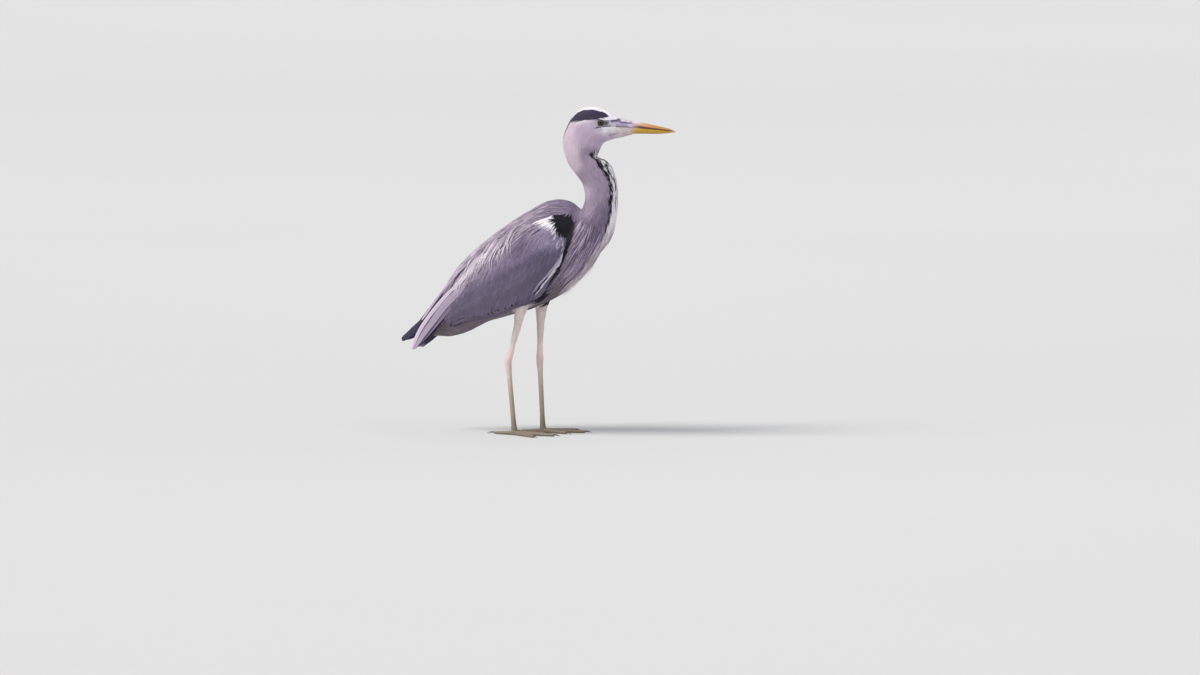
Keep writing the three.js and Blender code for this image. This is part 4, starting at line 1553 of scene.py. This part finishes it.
# Narrow feathers along the wing's front edge, then its lower edge and its rear end: places,
# half width, heights at root and tip, and colour.
WING_BORDER = (
    (((74, 392), (67, 374), (57, 357), (44, 341), (31, 326), (20, 312), (8, 298), (-6, 286)),
     3.0, 2.0, 3.2, (24, 21, 32)),
    (((70, 398), (62, 380), (52, 365), (39, 348), (26, 333), (13, 317), (2, 303)),
     3.2, 3.8, 4.8, (212, 200, 214)),
    (((64, 388), (52, 370), (38, 353), (24, 338), (11, 322), (0, 308)),
     2.4, 4.0, 5.0, (176, 164, 186)),
    (((34, 344), (22, 331), (10, 316), (1, 305)), 1.1, 4.6, 5.4, (50, 45, 62)),
    (((0, 290), (-20, 284), (-40, 277.5), (-70, 266), (-97, 255.5), (-128, 249), (-152, 244),
      (-170, 235), (-184, 230), (-198, 228)), 3.6, 3.2, 3.8, (104, 93, 115)),
    (((-20, 290), (-45, 281), (-72, 270), (-97, 260), (-128, 253.5), (-152, 248.5), (-170, 240),
      (-186, 234), (-201, 231)), 3.6, 4.6, 5.2, (108, 97, 119)),
    (((-210, 276), (-213, 262), (-212, 247), (-207, 232)), 1.7, 3.0, 3.6, (160, 146, 166)),
)
# The way the wing's hung feathers point, as in the coat's lie.
WING_LIE = np.array([
    (16, 306, -0.50, -0.86), (50, 370, -0.42, -0.90), (-28, 285, -0.40, -0.92),
    (0, 370, -0.36, -0.93), (-97, 256, -0.40, -0.92), (-70, 340, -0.38, -0.92),
    (-150, 245, -0.50, -0.87), (-140, 310, -0.46, -0.89), (-200, 230, -0.60, -0.80),
    (-190, 290, -0.58, -0.82),
], float)


# The step between places on the side-view lines that feathers hang along, in mm.
CLIMB = 4.0


def climb(ends, reach):
    """Side-view lines that run up the lie of the wing's feathers from their ends."""
    at = np.array(ends, float)
    line = [at]
    for _ in range(int(reach / CLIMB)):
        d = near(WING_LIE, at[:, 0], at[:, 1])
        at = at - unit(d) * CLIMB
        line.append(at)
    return np.stack(line, 1)


def wing_outline():
    """The part of the wing, seen from the side, that the hung rows of feathers cover."""
    edge = curve(WING_EDGE, 60)
    share = np.linspace(0, 1, 60)
    height = ROWS_HEIGHT * smooth(0, 0.12, share) * (1 - 0.4 * smooth(0.7, 1, share))
    line = climb(edge, ROWS_HEIGHT)
    steps = np.clip((height / CLIMB).astype(int), 0, line.shape[1] - 1)
    return np.concatenate([edge, line[np.arange(60), steps][::-1]])


def between(line, low, high, count):
    """The part of each side-view line from high down to low mm above its end."""
    share = 1 - (1 - np.linspace(0, 1, count)) ** 1.7
    want = (high[:, None] + (low - high)[:, None] * share) / CLIMB
    first = np.clip(np.floor(want).astype(int), 0, line.shape[1] - 2)
    part = (want - first)[..., None]
    rows = np.arange(len(line))[:, None]
    return line[rows, first] * (1 - part) + line[rows, first + 1] * part


# Nearer the midline than this, in mm, a ray has missed the body's side.
INNERMOST = 12


def drape(skin, flat, sign):
    """Side-view paths laid on one side of the body, with their normals and unwrap.

    A place that misses the body's side takes its depth from the places next to it.
    """
    n, k = flat.shape[:2]
    y = np.full((n, k), np.nan)
    for i, j in np.ndindex(n, k):
        hit = skin.flank(flat[i, j, 0], flat[i, j, 1], sign)
        if hit is not None and hit.y * sign > INNERMOST:
            y[i, j] = hit.y
    for j in range(1, k):
        y[:, j] = np.where(np.isnan(y[:, j]), y[:, j - 1] - sign * 0.5, y[:, j])
    for j in range(k - 2, -1, -1):
        y[:, j] = np.where(np.isnan(y[:, j]), y[:, j + 1], y[:, j])
    y = np.where(np.isnan(y), sign * 30, y)
    out = sign * y
    y = sign * np.maximum(sign * eased(y, 3), out)
    path = np.stack([flat[..., 0], y, flat[..., 1]], 2)
    _, normal, uv = skin.snap(path.reshape(-1, 3))
    normal = normal.reshape(n, k, 3) * 0.7 + np.array([0, sign * 0.4, 0.05])
    return path, unit(eased(normal, 3)), uv.reshape(n, k, 2)[:, 0]


def add_row(coat, skin, sign, row):
    """One row of the wing's feathers. The two lowest rows have raised shafts."""
    count, tip, length, width, low, high = row
    edge = curve(WING_EDGE, 400)
    s = (np.arange(count) + 0.5 + 0.22 * random.normal(size=count)) / count
    ends = edge[np.clip((s * 399).astype(int), 0, 399)]
    taper = 1 - 0.35 * smooth(0.72, 1.0, s)
    line = climb(ends, tip + length * 1.3)
    down = tip * taper + 4.5 * random.normal(size=count) * (tip > 10)
    long = length * taper * (1 + 0.06 * random.normal(size=count))
    down = np.maximum(down, -2)
    path, normal, uv = drape(skin, between(line, down, down + long, ROW_STEPS), sign)
    colour = mixed(linear(WING_GREY) * 1.1, linear(SLATE), 0.35 * random.random(count))
    colour = layered(colour, (WING_BLUE, smooth(0.25, 0.0, s) * 0.5))
    colour = colour * (1 - 0.2 * smooth(0.6, 0.9, s))[:, None]
    tones = shades(colour, 0.06, 1.05, 0.16 if tip < 50 else 0.06, 0.84)
    half = width / 2 * taper * (1 + 0.08 * random.normal(size=count))
    lift = stand(count, ROW_STEPS, low, high)
    coat.add(path, normal, half, lift, tones, uv, covert, 5, 0.12, 0.07 * sign)
    if tip < 40:
        lift = stand(count, ROW_STEPS, low + 0.6, high + 0.7)
        tones = shades(colour * 0.66, 0.02, 1.0, 0.0, 1.0)
        coat.add(path, normal, 0.4, lift, tones, uv, lance, 3, 0.5)


def add_border(coat, skin, sign, strip):
    """Short overlapping feathers that make one narrow strip along the wing's edge."""
    places, half, low, high, shade = strip
    first = np.arange(0, 42, 3)
    count = len(first)
    flat = curve(places, 64)[first[:, None] + np.linspace(0, 24, 9).astype(int)]
    flat = flat + 0.14 * half * random.normal(size=(count, 1, 2))
    path, normal, uv = drape(skin, flat, sign)
    half = half * random.uniform(0.7, 1.0, count)
    lift = stand(count, 9, low - 0.2, high)
    tones = shades(plain(shade, count), 0.06, 1.03, 0.05, 0.94)
    coat.add(path, normal, half, lift, tones, uv, lance, 5, 0.2)


def wing_rows(skin, side, sign, material):
    """Secondaries and the rows of coverts over them, hung from the wing's lower edge."""
    coat = Coat("flight_feathers_" + side)
    for row in WING_ROWS:
        add_row(coat, skin, sign, row)
    for strip in WING_BORDER:
        add_border(coat, skin, sign, strip)
    coat.build(material)


# Side-view paths of the long inner wing feathers that lie over the tail's side: places, half
# width, distance from the midline at the end, height over the others, and colour.
TERTIALS = (
    (((-120, 396), (-165, 350), (-205, 306), (-229, 276), (-243, 257), (-255, 241)), 2.9, 22, 5.2,
     (196, 182, 200)),
    (((-106, 402), (-150, 360), (-196, 316), (-224, 286), (-240, 264)), 1.8, 12, 4.6,
     (92, 84, 104)),
    # The third is a pale strip along the broad blade's upper edge: a painted highlight.
    (((-96, 390), (-136, 350), (-172, 316), (-196, 294), (-214, 276), (-235, 252), (-255, 225),
      (-268, 202), (-279, 177)), 5.0, 22, 6.0, (208, 194, 210)),
    (((-92, 376), (-124, 342), (-158, 310), (-186, 285), (-208, 264), (-229, 241), (-248, 219),
      (-263, 199), (-277, 178)), 10.6, 23, 4.8, (164, 149, 170)),
    (((-88, 364), (-118, 333), (-150, 303), (-178, 277), (-202, 254), (-224, 231), (-243, 211),
      (-259, 195), (-274, 179)), 6.4, 24, 3.4, (128, 115, 138)),
    (((-182, 272), (-196, 257), (-210, 241), (-224, 225), (-238, 210), (-253, 196), (-268, 184)),
     4.0, 21, 2.0, (58, 53, 74)),
)


# Places along a long feather from 0 to 1, closest together at its tip.
LONG_STEPS = 20
TIP_SHARE = 1 - (1 - np.linspace(0, 1, LONG_STEPS)) ** 1.6


def long_feather(coat, path, normal, uv, half, lift, colour, tones, arch, roll, shaft):
    """One long feather and its raised shaft.

    tones are its colour's factors at the root, tip and edge. shaft is the shaft's half width,
    its height over the vane at root and tip, and its colour's factors there.
    """
    # A root factor below one, as for the tertials, darkens the root: painted shade where it lies
    # under other feathers.
    root, tip, edge = tones
    tones = (colour * root, colour * tip, edge)
    coat.add(path, normal, half, lift, tones, uv, blade, 5, arch, roll)
    half, low, high, root, tip = shaft
    lift = lift + np.linspace(low, high, path.shape[1])
    coat.add(path, normal, half, lift, (colour * root, colour * tip, 0.0), uv, lance, 3, 0.6)


def tertials(skin, side, sign, material):
    """The long pale feathers that run from the wing down over the tail's side."""
    coat = Coat("tertials_" + side)
    tilt = unit(np.array([-0.22, sign * 0.94, 0.26]))
    profile = 0.12 + 0.88 * smooth(0, 0.32, np.linspace(0, 1, LONG_STEPS))
    for points, half, last, height, shade in TERTIALS:
        flat = curve(points, 100)[(99 * TIP_SHARE).round().astype(int)][None]
        path, normal, uv = drape(skin, flat, sign)
        x = path[..., 0]
        free = smooth(-176, -226, x)
        outer = np.interp(x, (-285, -230, -190), (last, last + 7, 46))
        path[..., 1] = eased(path[..., 1] * (1 - free) + sign * outer * free, 9)
        normal = unit(normal * (1 - free[..., None]) + tilt * free[..., None])
        long_feather(
            coat, path, normal, uv, half, height * profile[None], linear(shade)[None],
            (0.78, 1.04, 0.12), 0.12, 0.10 * sign, (0.5, 0.5, 0.9, 0.6, 0.75),
        )
    coat.build(material)


def blade_edges(node):
    """The upper and lower edge of a flat upright solid, in slices along its length."""
    solid = cad_points(node)
    way, across = np.array([-0.68, 0, -0.73]), np.array([-0.73, 0, 0.68])
    run, rise = solid @ way, solid @ across
    rows = []
    for stop in np.linspace(run.min() + 3, run.max() - 2, 18):
        part = np.abs(run - stop) < 7
        high, low = solid[part][rise[part].argmax()], solid[part][rise[part].argmin()]
        rows.append((high + way * (stop - high @ way), low + way * (stop - low @ way)))
    return eased(np.array(rows)[None], 4)[0]


def primaries(skin, side, sign, material):
    """The dark wing tips that stand on edge beside the tail's middle."""
    coat = Coat("primary_feathers_" + side)
    rows = blade_edges("primaries_" + side)
    lead = np.clip(1 - np.arange(LONG_STEPS) / 5, 0, 1)[:, None]
    bend = (np.linspace(0, 1, LONG_STEPS) ** 2)[:, None]
    normal = np.repeat(unit(np.array([[[-0.12, sign, 0.22]]])), LONG_STEPS, 1)
    for i in range(7):
        share = 0.06 + 0.76 * i / 6
        pick = (17 - 0.75 * i) * TIP_SHARE
        low = np.clip(np.floor(pick).astype(int), 0, 16)
        part = (pick - low)[:, None, None]
        slices = rows[low] * (1 - part) + rows[low + 1] * part
        path = slices[:, 0] * (1 - share) + slices[:, 1] * share
        path = path + lead * [22.0, 0, 24.0] + bend * [-3.0, 0, 4.0]
        path[:, 1] = sign * (16.8 - 0.9 * i) * (1 - 0.7 * lead[:, 0])
        path = path[None]
        _, _, uv = skin.snap(path[:, 0])
        long_feather(
            coat, path, normal, uv, 8.0, stand(1, LONG_STEPS, 0.0, 0.3),
            linear(INDIGO)[None] * (0.8 + 0.06 * i), (1.1, 0.85, 0.35), 0.12, 0.12 * sign,
            (0.5, 0.6, 0.6, 0.4, 0.4),
        )
    ob = coat.build(material)
    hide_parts("primaries_" + side)


# The middle of the tail's upper side, seen from the side in mm.
TAIL_LINE = ((-192, 293), (-219, 271), (-241, 249), (-262, 222), (-276, 197), (-284, 180))


def tail_feathers(skin, material):
    """Twelve tail feathers, the middle pair on top, arched like a low roof."""
    coat = Coat("tail_feathers")
    middle = curve(TAIL_LINE, 40)
    along = unit(np.gradient(middle, axis=0))
    over = np.stack([along[:, 1], -along[:, 0]], 1)
    for i in range(6):
        low = np.floor(np.linspace(0, 39 - 0.3 * i * i, 16)).astype(int)
        off = np.linspace(2 + 1.6 * i, 3.2 + 3.0 * i, 16)
        arch = 1.5 - 12 * (off / 25) ** 2 - 0.5 * i
        flat = middle[low] + over[low] * arch[:, None]
        for sign in (-1.0, 1.0):
            path = np.stack([flat[:, 0], sign * off, flat[:, 1]], 1)[None]
            normal = np.stack([over[low, 0], sign * off / 25 * 0.95, over[low, 1]], 1)
            _, _, uv = skin.snap(path[:, 0])
            long_feather(
                coat, path, unit(normal)[None], uv, 7.4, stand(1, 16, 0.2, 0.4),
                linear((138, 126, 146))[None] * (1 - 0.03 * i), (1.0, 0.8, 0.12), 0.10,
                0.06 * sign, (0.55, 0.7, 0.7, 0.6, 0.6),
            )
    ob = coat.build(material)
    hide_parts("tail")


# Where each group of silver plumes starts and ends, seen from the side, and how many it has.
SILVER_GROUPS = (
    ((-24, 462), (-34, 382), 3), ((-34, 450), (-46, 380), 3),
    ((-46, 444), (-58, 361), 6), ((-60, 434), (-80, 356), 5), ((-70, 424), (-98, 346), 9),
    ((-84, 412), (-118, 330), 7), ((-96, 402), (-134, 316), 11), ((-114, 388), (-156, 302), 8),
    ((-126, 374), (-174, 288), 11), ((-140, 360), (-194, 274), 9), ((-156, 344), (-210, 262), 6),
)


def silver_plumes(skin, side, sign, material):
    """Long silver strands that fall from the back over the upper wing, in loose groups."""
    coat = Coat("silver_plumes_" + side)
    start, end = [], []
    for first, last, count in SILVER_GROUPS:
        for _ in range(count):
            off = random.normal(size=4)
            shorter = random.uniform(-0.06, 0.26)
            a = np.array(first) + off[:2] * [7, 5]
            b = np.array(last) + off[2:] * [2.6, 3]
            start.append(a)
            end.append(b + (a - b) * shorter)
    roots, aim = (skin.side(*np.array(places).T, sign) for places in (start, end))
    length = np.linalg.norm(aim - roots, axis=1) * 1.04
    count = len(roots)
    turn = sign * 0.14 + 0.08 * random.normal(size=count)
    path, normal, uv = walk(skin, roots, length, STRAND_STEPS, turn, -sign * 0.18, 0.5, aim)
    bright = random.random(count) ** 0.8
    base = mixed(linear(MANTLE_GREY), linear(PALE), bright)
    tip = mixed(linear(SILVER), linear((246, 238, 246)), bright)
    half = random.uniform(0.7, 1.5, count)
    lift = stand(count, STRAND_STEPS, 1.4, 3.8) + 0.7 * random.random(count)[:, None]
    coat.add(path, normal, half, lift, (base, tip, 0.05), uv, lance, 3, 0.45)
    coat.build(material)


# Places along the rows' feathers and along the plumes and strands.
ROW_STEPS = 12
STRAND_STEPS = 12


def near_skin(skin, path, limit):
    """Whether the end of each path lies close to the skin."""
    at, _, _ = skin.snap(path[:, -1])
    return np.linalg.norm(at - path[:, -1], axis=1) < limit


def overlay(skin, coat, start, sign, length, shade, tones, half, heights, bend=0.0):
    """Long fine strands that follow the lie from their starts on one side of the body.

    A strand that comes to the patches at the wing's front ends at their edge. tones are the
    shade's factors at the root and the tip.
    """
    roots = skin.side(start[:, 0], start[:, 1], sign)
    count = len(roots)
    turn = 0.07 * random.normal(size=count) + 0.10 * ripple(roots, 40.0)
    extra = 0.5 * random.random(count)
    path, normal, uv = walk(skin, roots, length, STRAND_STEPS, turn, sign * bend, 0.55)
    on = marked(path.reshape(-1, 3)).reshape(count, STRAND_STEPS)
    last = STRAND_STEPS - 1
    first = np.where(on.any(1), on.argmax(1), last)
    length = length * (first + 0.4 * on.any(1)) / last
    path, normal, uv = walk(skin, roots, length, STRAND_STEPS, turn, sign * bend, 0.55)
    lift = stand(count, STRAND_STEPS, *heights) + extra[:, None]
    good = (first > 3) & near_skin(skin, path, 6.0)
    path, normal, half, lift, shade, uv = (
        v[good] for v in (path, normal, half, lift, shade, uv)
    )
    tones = (shade * tones[0], shade * tones[1], 0.05)
    coat.add(path, normal, half, lift, tones, uv, lance, 3, 0.45)


# The line that the back's strands start round, seen from the side in mm.
MANTLE_LINE = ((66, 486), (20, 484), (-30, 462), (-80, 428), (-130, 386), (-176, 340))


def mantle_strands(skin, material):
    """Fine pale and dark strands along the back and the upper wings."""
    count = 620
    line = curve(MANTLE_LINE, 300)
    for side, sign in SIDES:
        coat = Coat("mantle_strands_" + side)
        s = random.random(count)
        start = line[(s * 299).astype(int)] + random.normal(size=(count, 2)) * [9, 12] - [0, 12]
        light = random.random(count) ** 1.4
        shade = mixed(linear((92, 82, 104)), linear((214, 198, 214)), light)
        length = random.uniform(36, 74, count) * np.interp(s, (0, 0.2, 1), (0.55, 0.9, 1.1))
        half = random.uniform(0.45, 0.95, count)
        overlay(
            skin, coat, start, sign, length, shade, (0.85, 1.1), half, (0.7, 1.7), -0.10,
        )
        coat.build(material)


def breast_strands(skin, material):
    """Long plumes from the lower neck, down both sides of the breast."""
    count = 520
    for side, sign in SIDES:
        coat = Coat("breast_strands_" + side)
        s = random.random(count)
        row = random.random(count)
        front = np.stack([92 + 62 * s - 22 * row, 470 - 12 * s - 84 * row], 1)
        start = front + random.normal(size=(count, 2)) * 3
        light = random.random(count) ** 2.6
        shade = mixed(linear((96, 83, 110)), linear((222, 206, 224)), light)
        length = random.uniform(46, 104, count)
        half = random.uniform(0.4, 0.95, count)
        overlay(skin, coat, start, sign, length, shade, (0.8, 1.25), half, (0.9, 2.8))
        coat.build(material)


def breast_fringe(skin, material):
    """The long pale plumes at the front of the breast, whose loose tips pass its outline."""
    coat = Coat("breast_plumes_front")
    count = 420
    s = random.random(count)
    z = np.interp(s, (0, 0.3, 0.6, 1), (452, 410, 376, 344)) + 6 * random.normal(size=count)
    y = random.uniform(-1, 1, count) * np.interp(s, (0, 0.5, 1), (24, 30, 26))
    starts = np.column_stack([np.full(count, 260.0), y, z])
    roots = np.array(first_hits([skin.tree], starts, (-1, 0, 0))[0])
    length = random.uniform(50, 120, count) * np.interp(s, (0, 0.6, 1), (1, 0.8, 0.55))
    turn = 0.05 * random.normal(size=count)
    path, normal, uv = walk(skin, roots, length, 14, turn, 0.0, 0.72)
    loose = (random.random(count) ** 3)[:, None] * 7 * np.linspace(0, 1, 14) ** 2.2
    light = random.random(count)
    base = mixed(linear((176, 162, 180)), linear((226, 216, 228)), light)
    tip = mixed(linear((190, 176, 188)), linear((246, 238, 240)), light)
    dark = (random.random(count) < 0.12) & (s < 0.4)
    base[dark] = linear(INK) * 1.5
    half = random.uniform(0.5, 1.2, count)
    lift = stand(count, 14, 0.8, 3.6) + loose
    coat.add(path, normal, half, lift, (base, tip, 0.05), uv, lance, 3, 0.5)
    ob = coat.build(material)
    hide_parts("breast_plumes")


def crest(skin, material):
    """Thin black plumes down the nape, close to the head."""
    coat = Coat("crest_plumes")
    count = 9
    share = np.linspace(0, 1, count)
    ink = plain(CAP, count) * 0.8
    for _, sign in SIDES:
        roots = skin.side(80 - 6 * share, 687 - 9 * share, sign)
        roots[:, 1] = sign * np.interp(share, (0, 1), (1.5, 9))
        roots, _, _ = skin.snap(roots)
        out = sign * np.interp(share, (0, 1), (1.5, 7))
        aim = np.stack([51 + 1.5 * share, out, 617 + 30 * share], 1)
        length = np.linspace(80, 42, count)
        path, normal, uv = walk(skin, roots, length, 14, np.zeros(count), 0.0, 0.3, aim)
        lift = stand(count, 14, 0.2, 1.3)
        coat.add(path, normal, 1.1, lift, (ink, ink * 0.7, 0.1), uv, lance, 3, 0.4)
    ob = coat.build(material)
    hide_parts("crest_plume_right", "crest_plume_left")


def crown_wisp(skin, material):
    """A few loose white plumes that stand off the back of the crown."""
    coat = Coat("crown_wisp")
    count = 26
    x = random.uniform(100, 128, count)
    y = random.uniform(-5, 5, count)
    starts = np.column_stack([x, y, np.full(count, 760.0)])
    roots = np.array(first_hits([skin.tree], starts, (0, 0, -1))[0])
    length = random.uniform(20, 32, count)
    path, normal, uv = walk(skin, roots, length, 9, 0.1 * random.normal(size=count))
    loose = random.uniform(1.0, 3.6, count)[:, None] * np.linspace(0, 1, 9) ** 2
    half = random.uniform(0.5, 0.8, count)
    white = plain(WHITE, count)
    lift = stand(count, 9, 0.2, 0.5) + loose
    coat.add(path, normal, half, lift, (white, white, 0.0), uv, lance, 3, 0.4)
    coat.build(material)


# How many places are tried on each side of the bill's root, and below it.
MALAR_TRIES = 520
CHIN_TRIES = 900


def malar_rows(trees):
    """Paths of the small feathers that run forward over the lower bill's side."""
    path, normal = [], []
    for _, sign in SIDES:
        for _ in range(MALAR_TRIES):
            x, z = random.uniform(168, 192), random.uniform(641, 664)
            limit = np.interp(z, (642, 649, 655, 660, 664), (192, 188, 182, 177, 172))
            length = random.uniform(6, 9)
            if x > limit + random.uniform(-3, 1):
                continue
            back = np.linspace(0, 1, SHORT_STEPS) * length
            starts = np.stack([x - back, sign * FLANK + 0 * back, z - back * 0.12], 1)
            found = first_hits(trees, starts, (0, -sign, 0))
            if found:
                path.append(found[0])
                normal.append(found[1])
    return np.array(path), unit(np.array(normal))


def chin_rows(tree):
    """Paths of the small feathers that run forward under the root of the lower bill."""
    rows = []
    for _ in range(CHIN_TRIES):
        x = random.uniform(176, 208)
        y = random.uniform(-1, 1) * 9.6 * np.interp(x, (176, 208), (1.0, 0.12))
        if x <= 176 + 34 * (1 - abs(y) / 10) ** 0.7:
            rows.append((x, y))
    rows = np.array(rows)
    rows = rows[spaced(np.column_stack([rows, 0 * rows[:, 0]]), np.full(len(rows), 0.9))]
    path, normal = [], []
    for x, y in rows:
        back = x - np.linspace(0, 1, SHORT_STEPS) * 6.0
        starts = np.stack([np.maximum(back, 166.5), y + 0 * back, 600.0 + 0 * back], 1)
        places, facing = first_hits([tree], starts, (0, 0, 1))
        path.append(np.stack([back, y + 0 * back, np.array(places)[:, 2]], 1))
        normal.append(facing)
    return np.array(path), unit(np.array(normal))


def chin_feathers(skin, bill, material):
    """Small pale feathers that run forward under and beside the root of the lower bill."""
    coat = Coat("feathers_chin")
    tree = tree_of(bill.data)[0]
    below, down = chin_rows(tree)
    beside, out = malar_rows((skin.tree, tree))
    path, normal = np.concatenate([below, beside]), np.concatenate([down, out])
    _, _, uv = skin.snap(path[:, 0])
    count = len(path)
    tones = shades(coat_colour(path[:, 3]), 0.05, 1.0, 0.05, 0.92)
    coat.add(path, normal, 0.7, stand(count, SHORT_STEPS, 0.1, 0.8), tones, uv, lance)
    coat.build(material)


# ---------------------------------------------------------------- camera, light, floor
def view_frame():
    """The camera's right, up and back directions."""
    turn, lift = math.radians(17), math.radians(5)
    right = Vector((math.cos(turn), math.sin(turn), 0))
    back = Vector((
        math.sin(turn) * math.cos(lift), -math.cos(turn) * math.cos(lift), math.sin(lift),
    ))
    return right, back.cross(right), back


def add_camera():
    right, up, back = view_frame()
    data = bpy.data.cameras.new("camera")
    data.sensor_width = 36
    data.lens = 18 / math.tan(math.radians(5.907 / 2))
    data.clip_start, data.clip_end = 1, 300
    camera = placed("camera", data)
    camera.location = right * 0.129 + up * 0.2075 + back * 25
    camera.rotation_mode = "QUATERNION"
    camera.rotation_quaternion = (-back).to_track_quat("-Z", "Y")
    bpy.context.scene.camera = camera


def add_sun(name, toward, strength, spread, colour):
    """A soft sun that shines from the direction given in the camera's right, up and back."""
    right, up, back = view_frame()
    way = right * toward[0] + up * toward[1] + back * toward[2]
    data = bpy.data.lights.new(name, "SUN")
    data.energy, data.angle, data.color = strength, math.radians(spread), colour
    light = placed(name, data)
    light.rotation_mode = "QUATERNION"
    light.rotation_quaternion = way.to_track_quat("Z", "Y")


def add_floor():
    data = bpy.data.meshes.new("floor")
    bm = bmesh.new()
    bmesh.ops.create_circle(bm, cap_ends=True, radius=80, segments=96)
    bm.to_mesh(data)
    bm.free()
    floor = placed("floor", data)
    material = bpy.data.materials.new("floor_paint")
    material.use_nodes = True
    tree = material.node_tree
    shader = tree.nodes["Principled BSDF"]
    shader.inputs["Roughness"].default_value = 0.9
    shader.inputs["Specular IOR Level"].default_value = 0.1
    grain = add(tree, "TexNoise", {"Scale": 40.0, "Detail": 4.0})
    ramp = add(tree, "MapRange", {"To Min": 0.60, "To Max": 0.64})
    colour = add(tree, "CombineColor")
    link(tree, grain, ramp, "Fac", "Value")
    for k in range(3):
        link(tree, ramp, colour, 0, k)
    link(tree, colour, shader, 0, "Base Color")
    data.materials.append(material)


def add_world():
    world = bpy.data.worlds.new("studio")
    world.use_nodes = True
    shade = world.node_tree.nodes["Background"]
    shade.inputs["Color"].default_value = (0.94, 0.96, 1.0, 1)
    shade.inputs["Strength"].default_value = 0.62
    bpy.context.scene.world = world


def stage():
    add_camera()
    add_sun("key", (-0.68, 0.80, 0.28), 2.5, 24, (1.0, 0.97, 0.93))
    add_sun("fill", (0.7, 0.5, 0.5), 0.4, 50, (0.93, 0.95, 1.0))
    add_floor()
    add_world()
    bpy.context.scene.view_settings.view_transform = "Standard"


stage()
skin_object = make_skin()
SKIN = Surface(skin_object.data)
VANE = {
    "fine": feather_material("fine_feathers", 0.66, 0.10, 1.5),
    "broad": feather_material("broad_feathers", 0.6, 0.10, 1.2),
}
short_coat(SKIN, VANE)
chin_feathers(SKIN, make_bill(), VANE["fine"])
for wing_side, wing_sign in SIDES:
    wing_rows(SKIN, wing_side, wing_sign, VANE["broad"])
    tertials(SKIN, wing_side, wing_sign, VANE["broad"])
    primaries(SKIN, wing_side, wing_sign, VANE["broad"])
    silver_plumes(SKIN, wing_side, wing_sign, VANE["fine"])
tail_feathers(SKIN, VANE["broad"])
mantle_strands(SKIN, VANE["fine"])
breast_strands(SKIN, VANE["fine"])
breast_fringe(SKIN, VANE["fine"])
crest(SKIN, VANE["fine"])
crown_wisp(SKIN, VANE["fine"])
for eye_side, eye_sign in SIDES:
    make_eye(eye_side, eye_sign)
make_legs(VANE["fine"], SKIN)
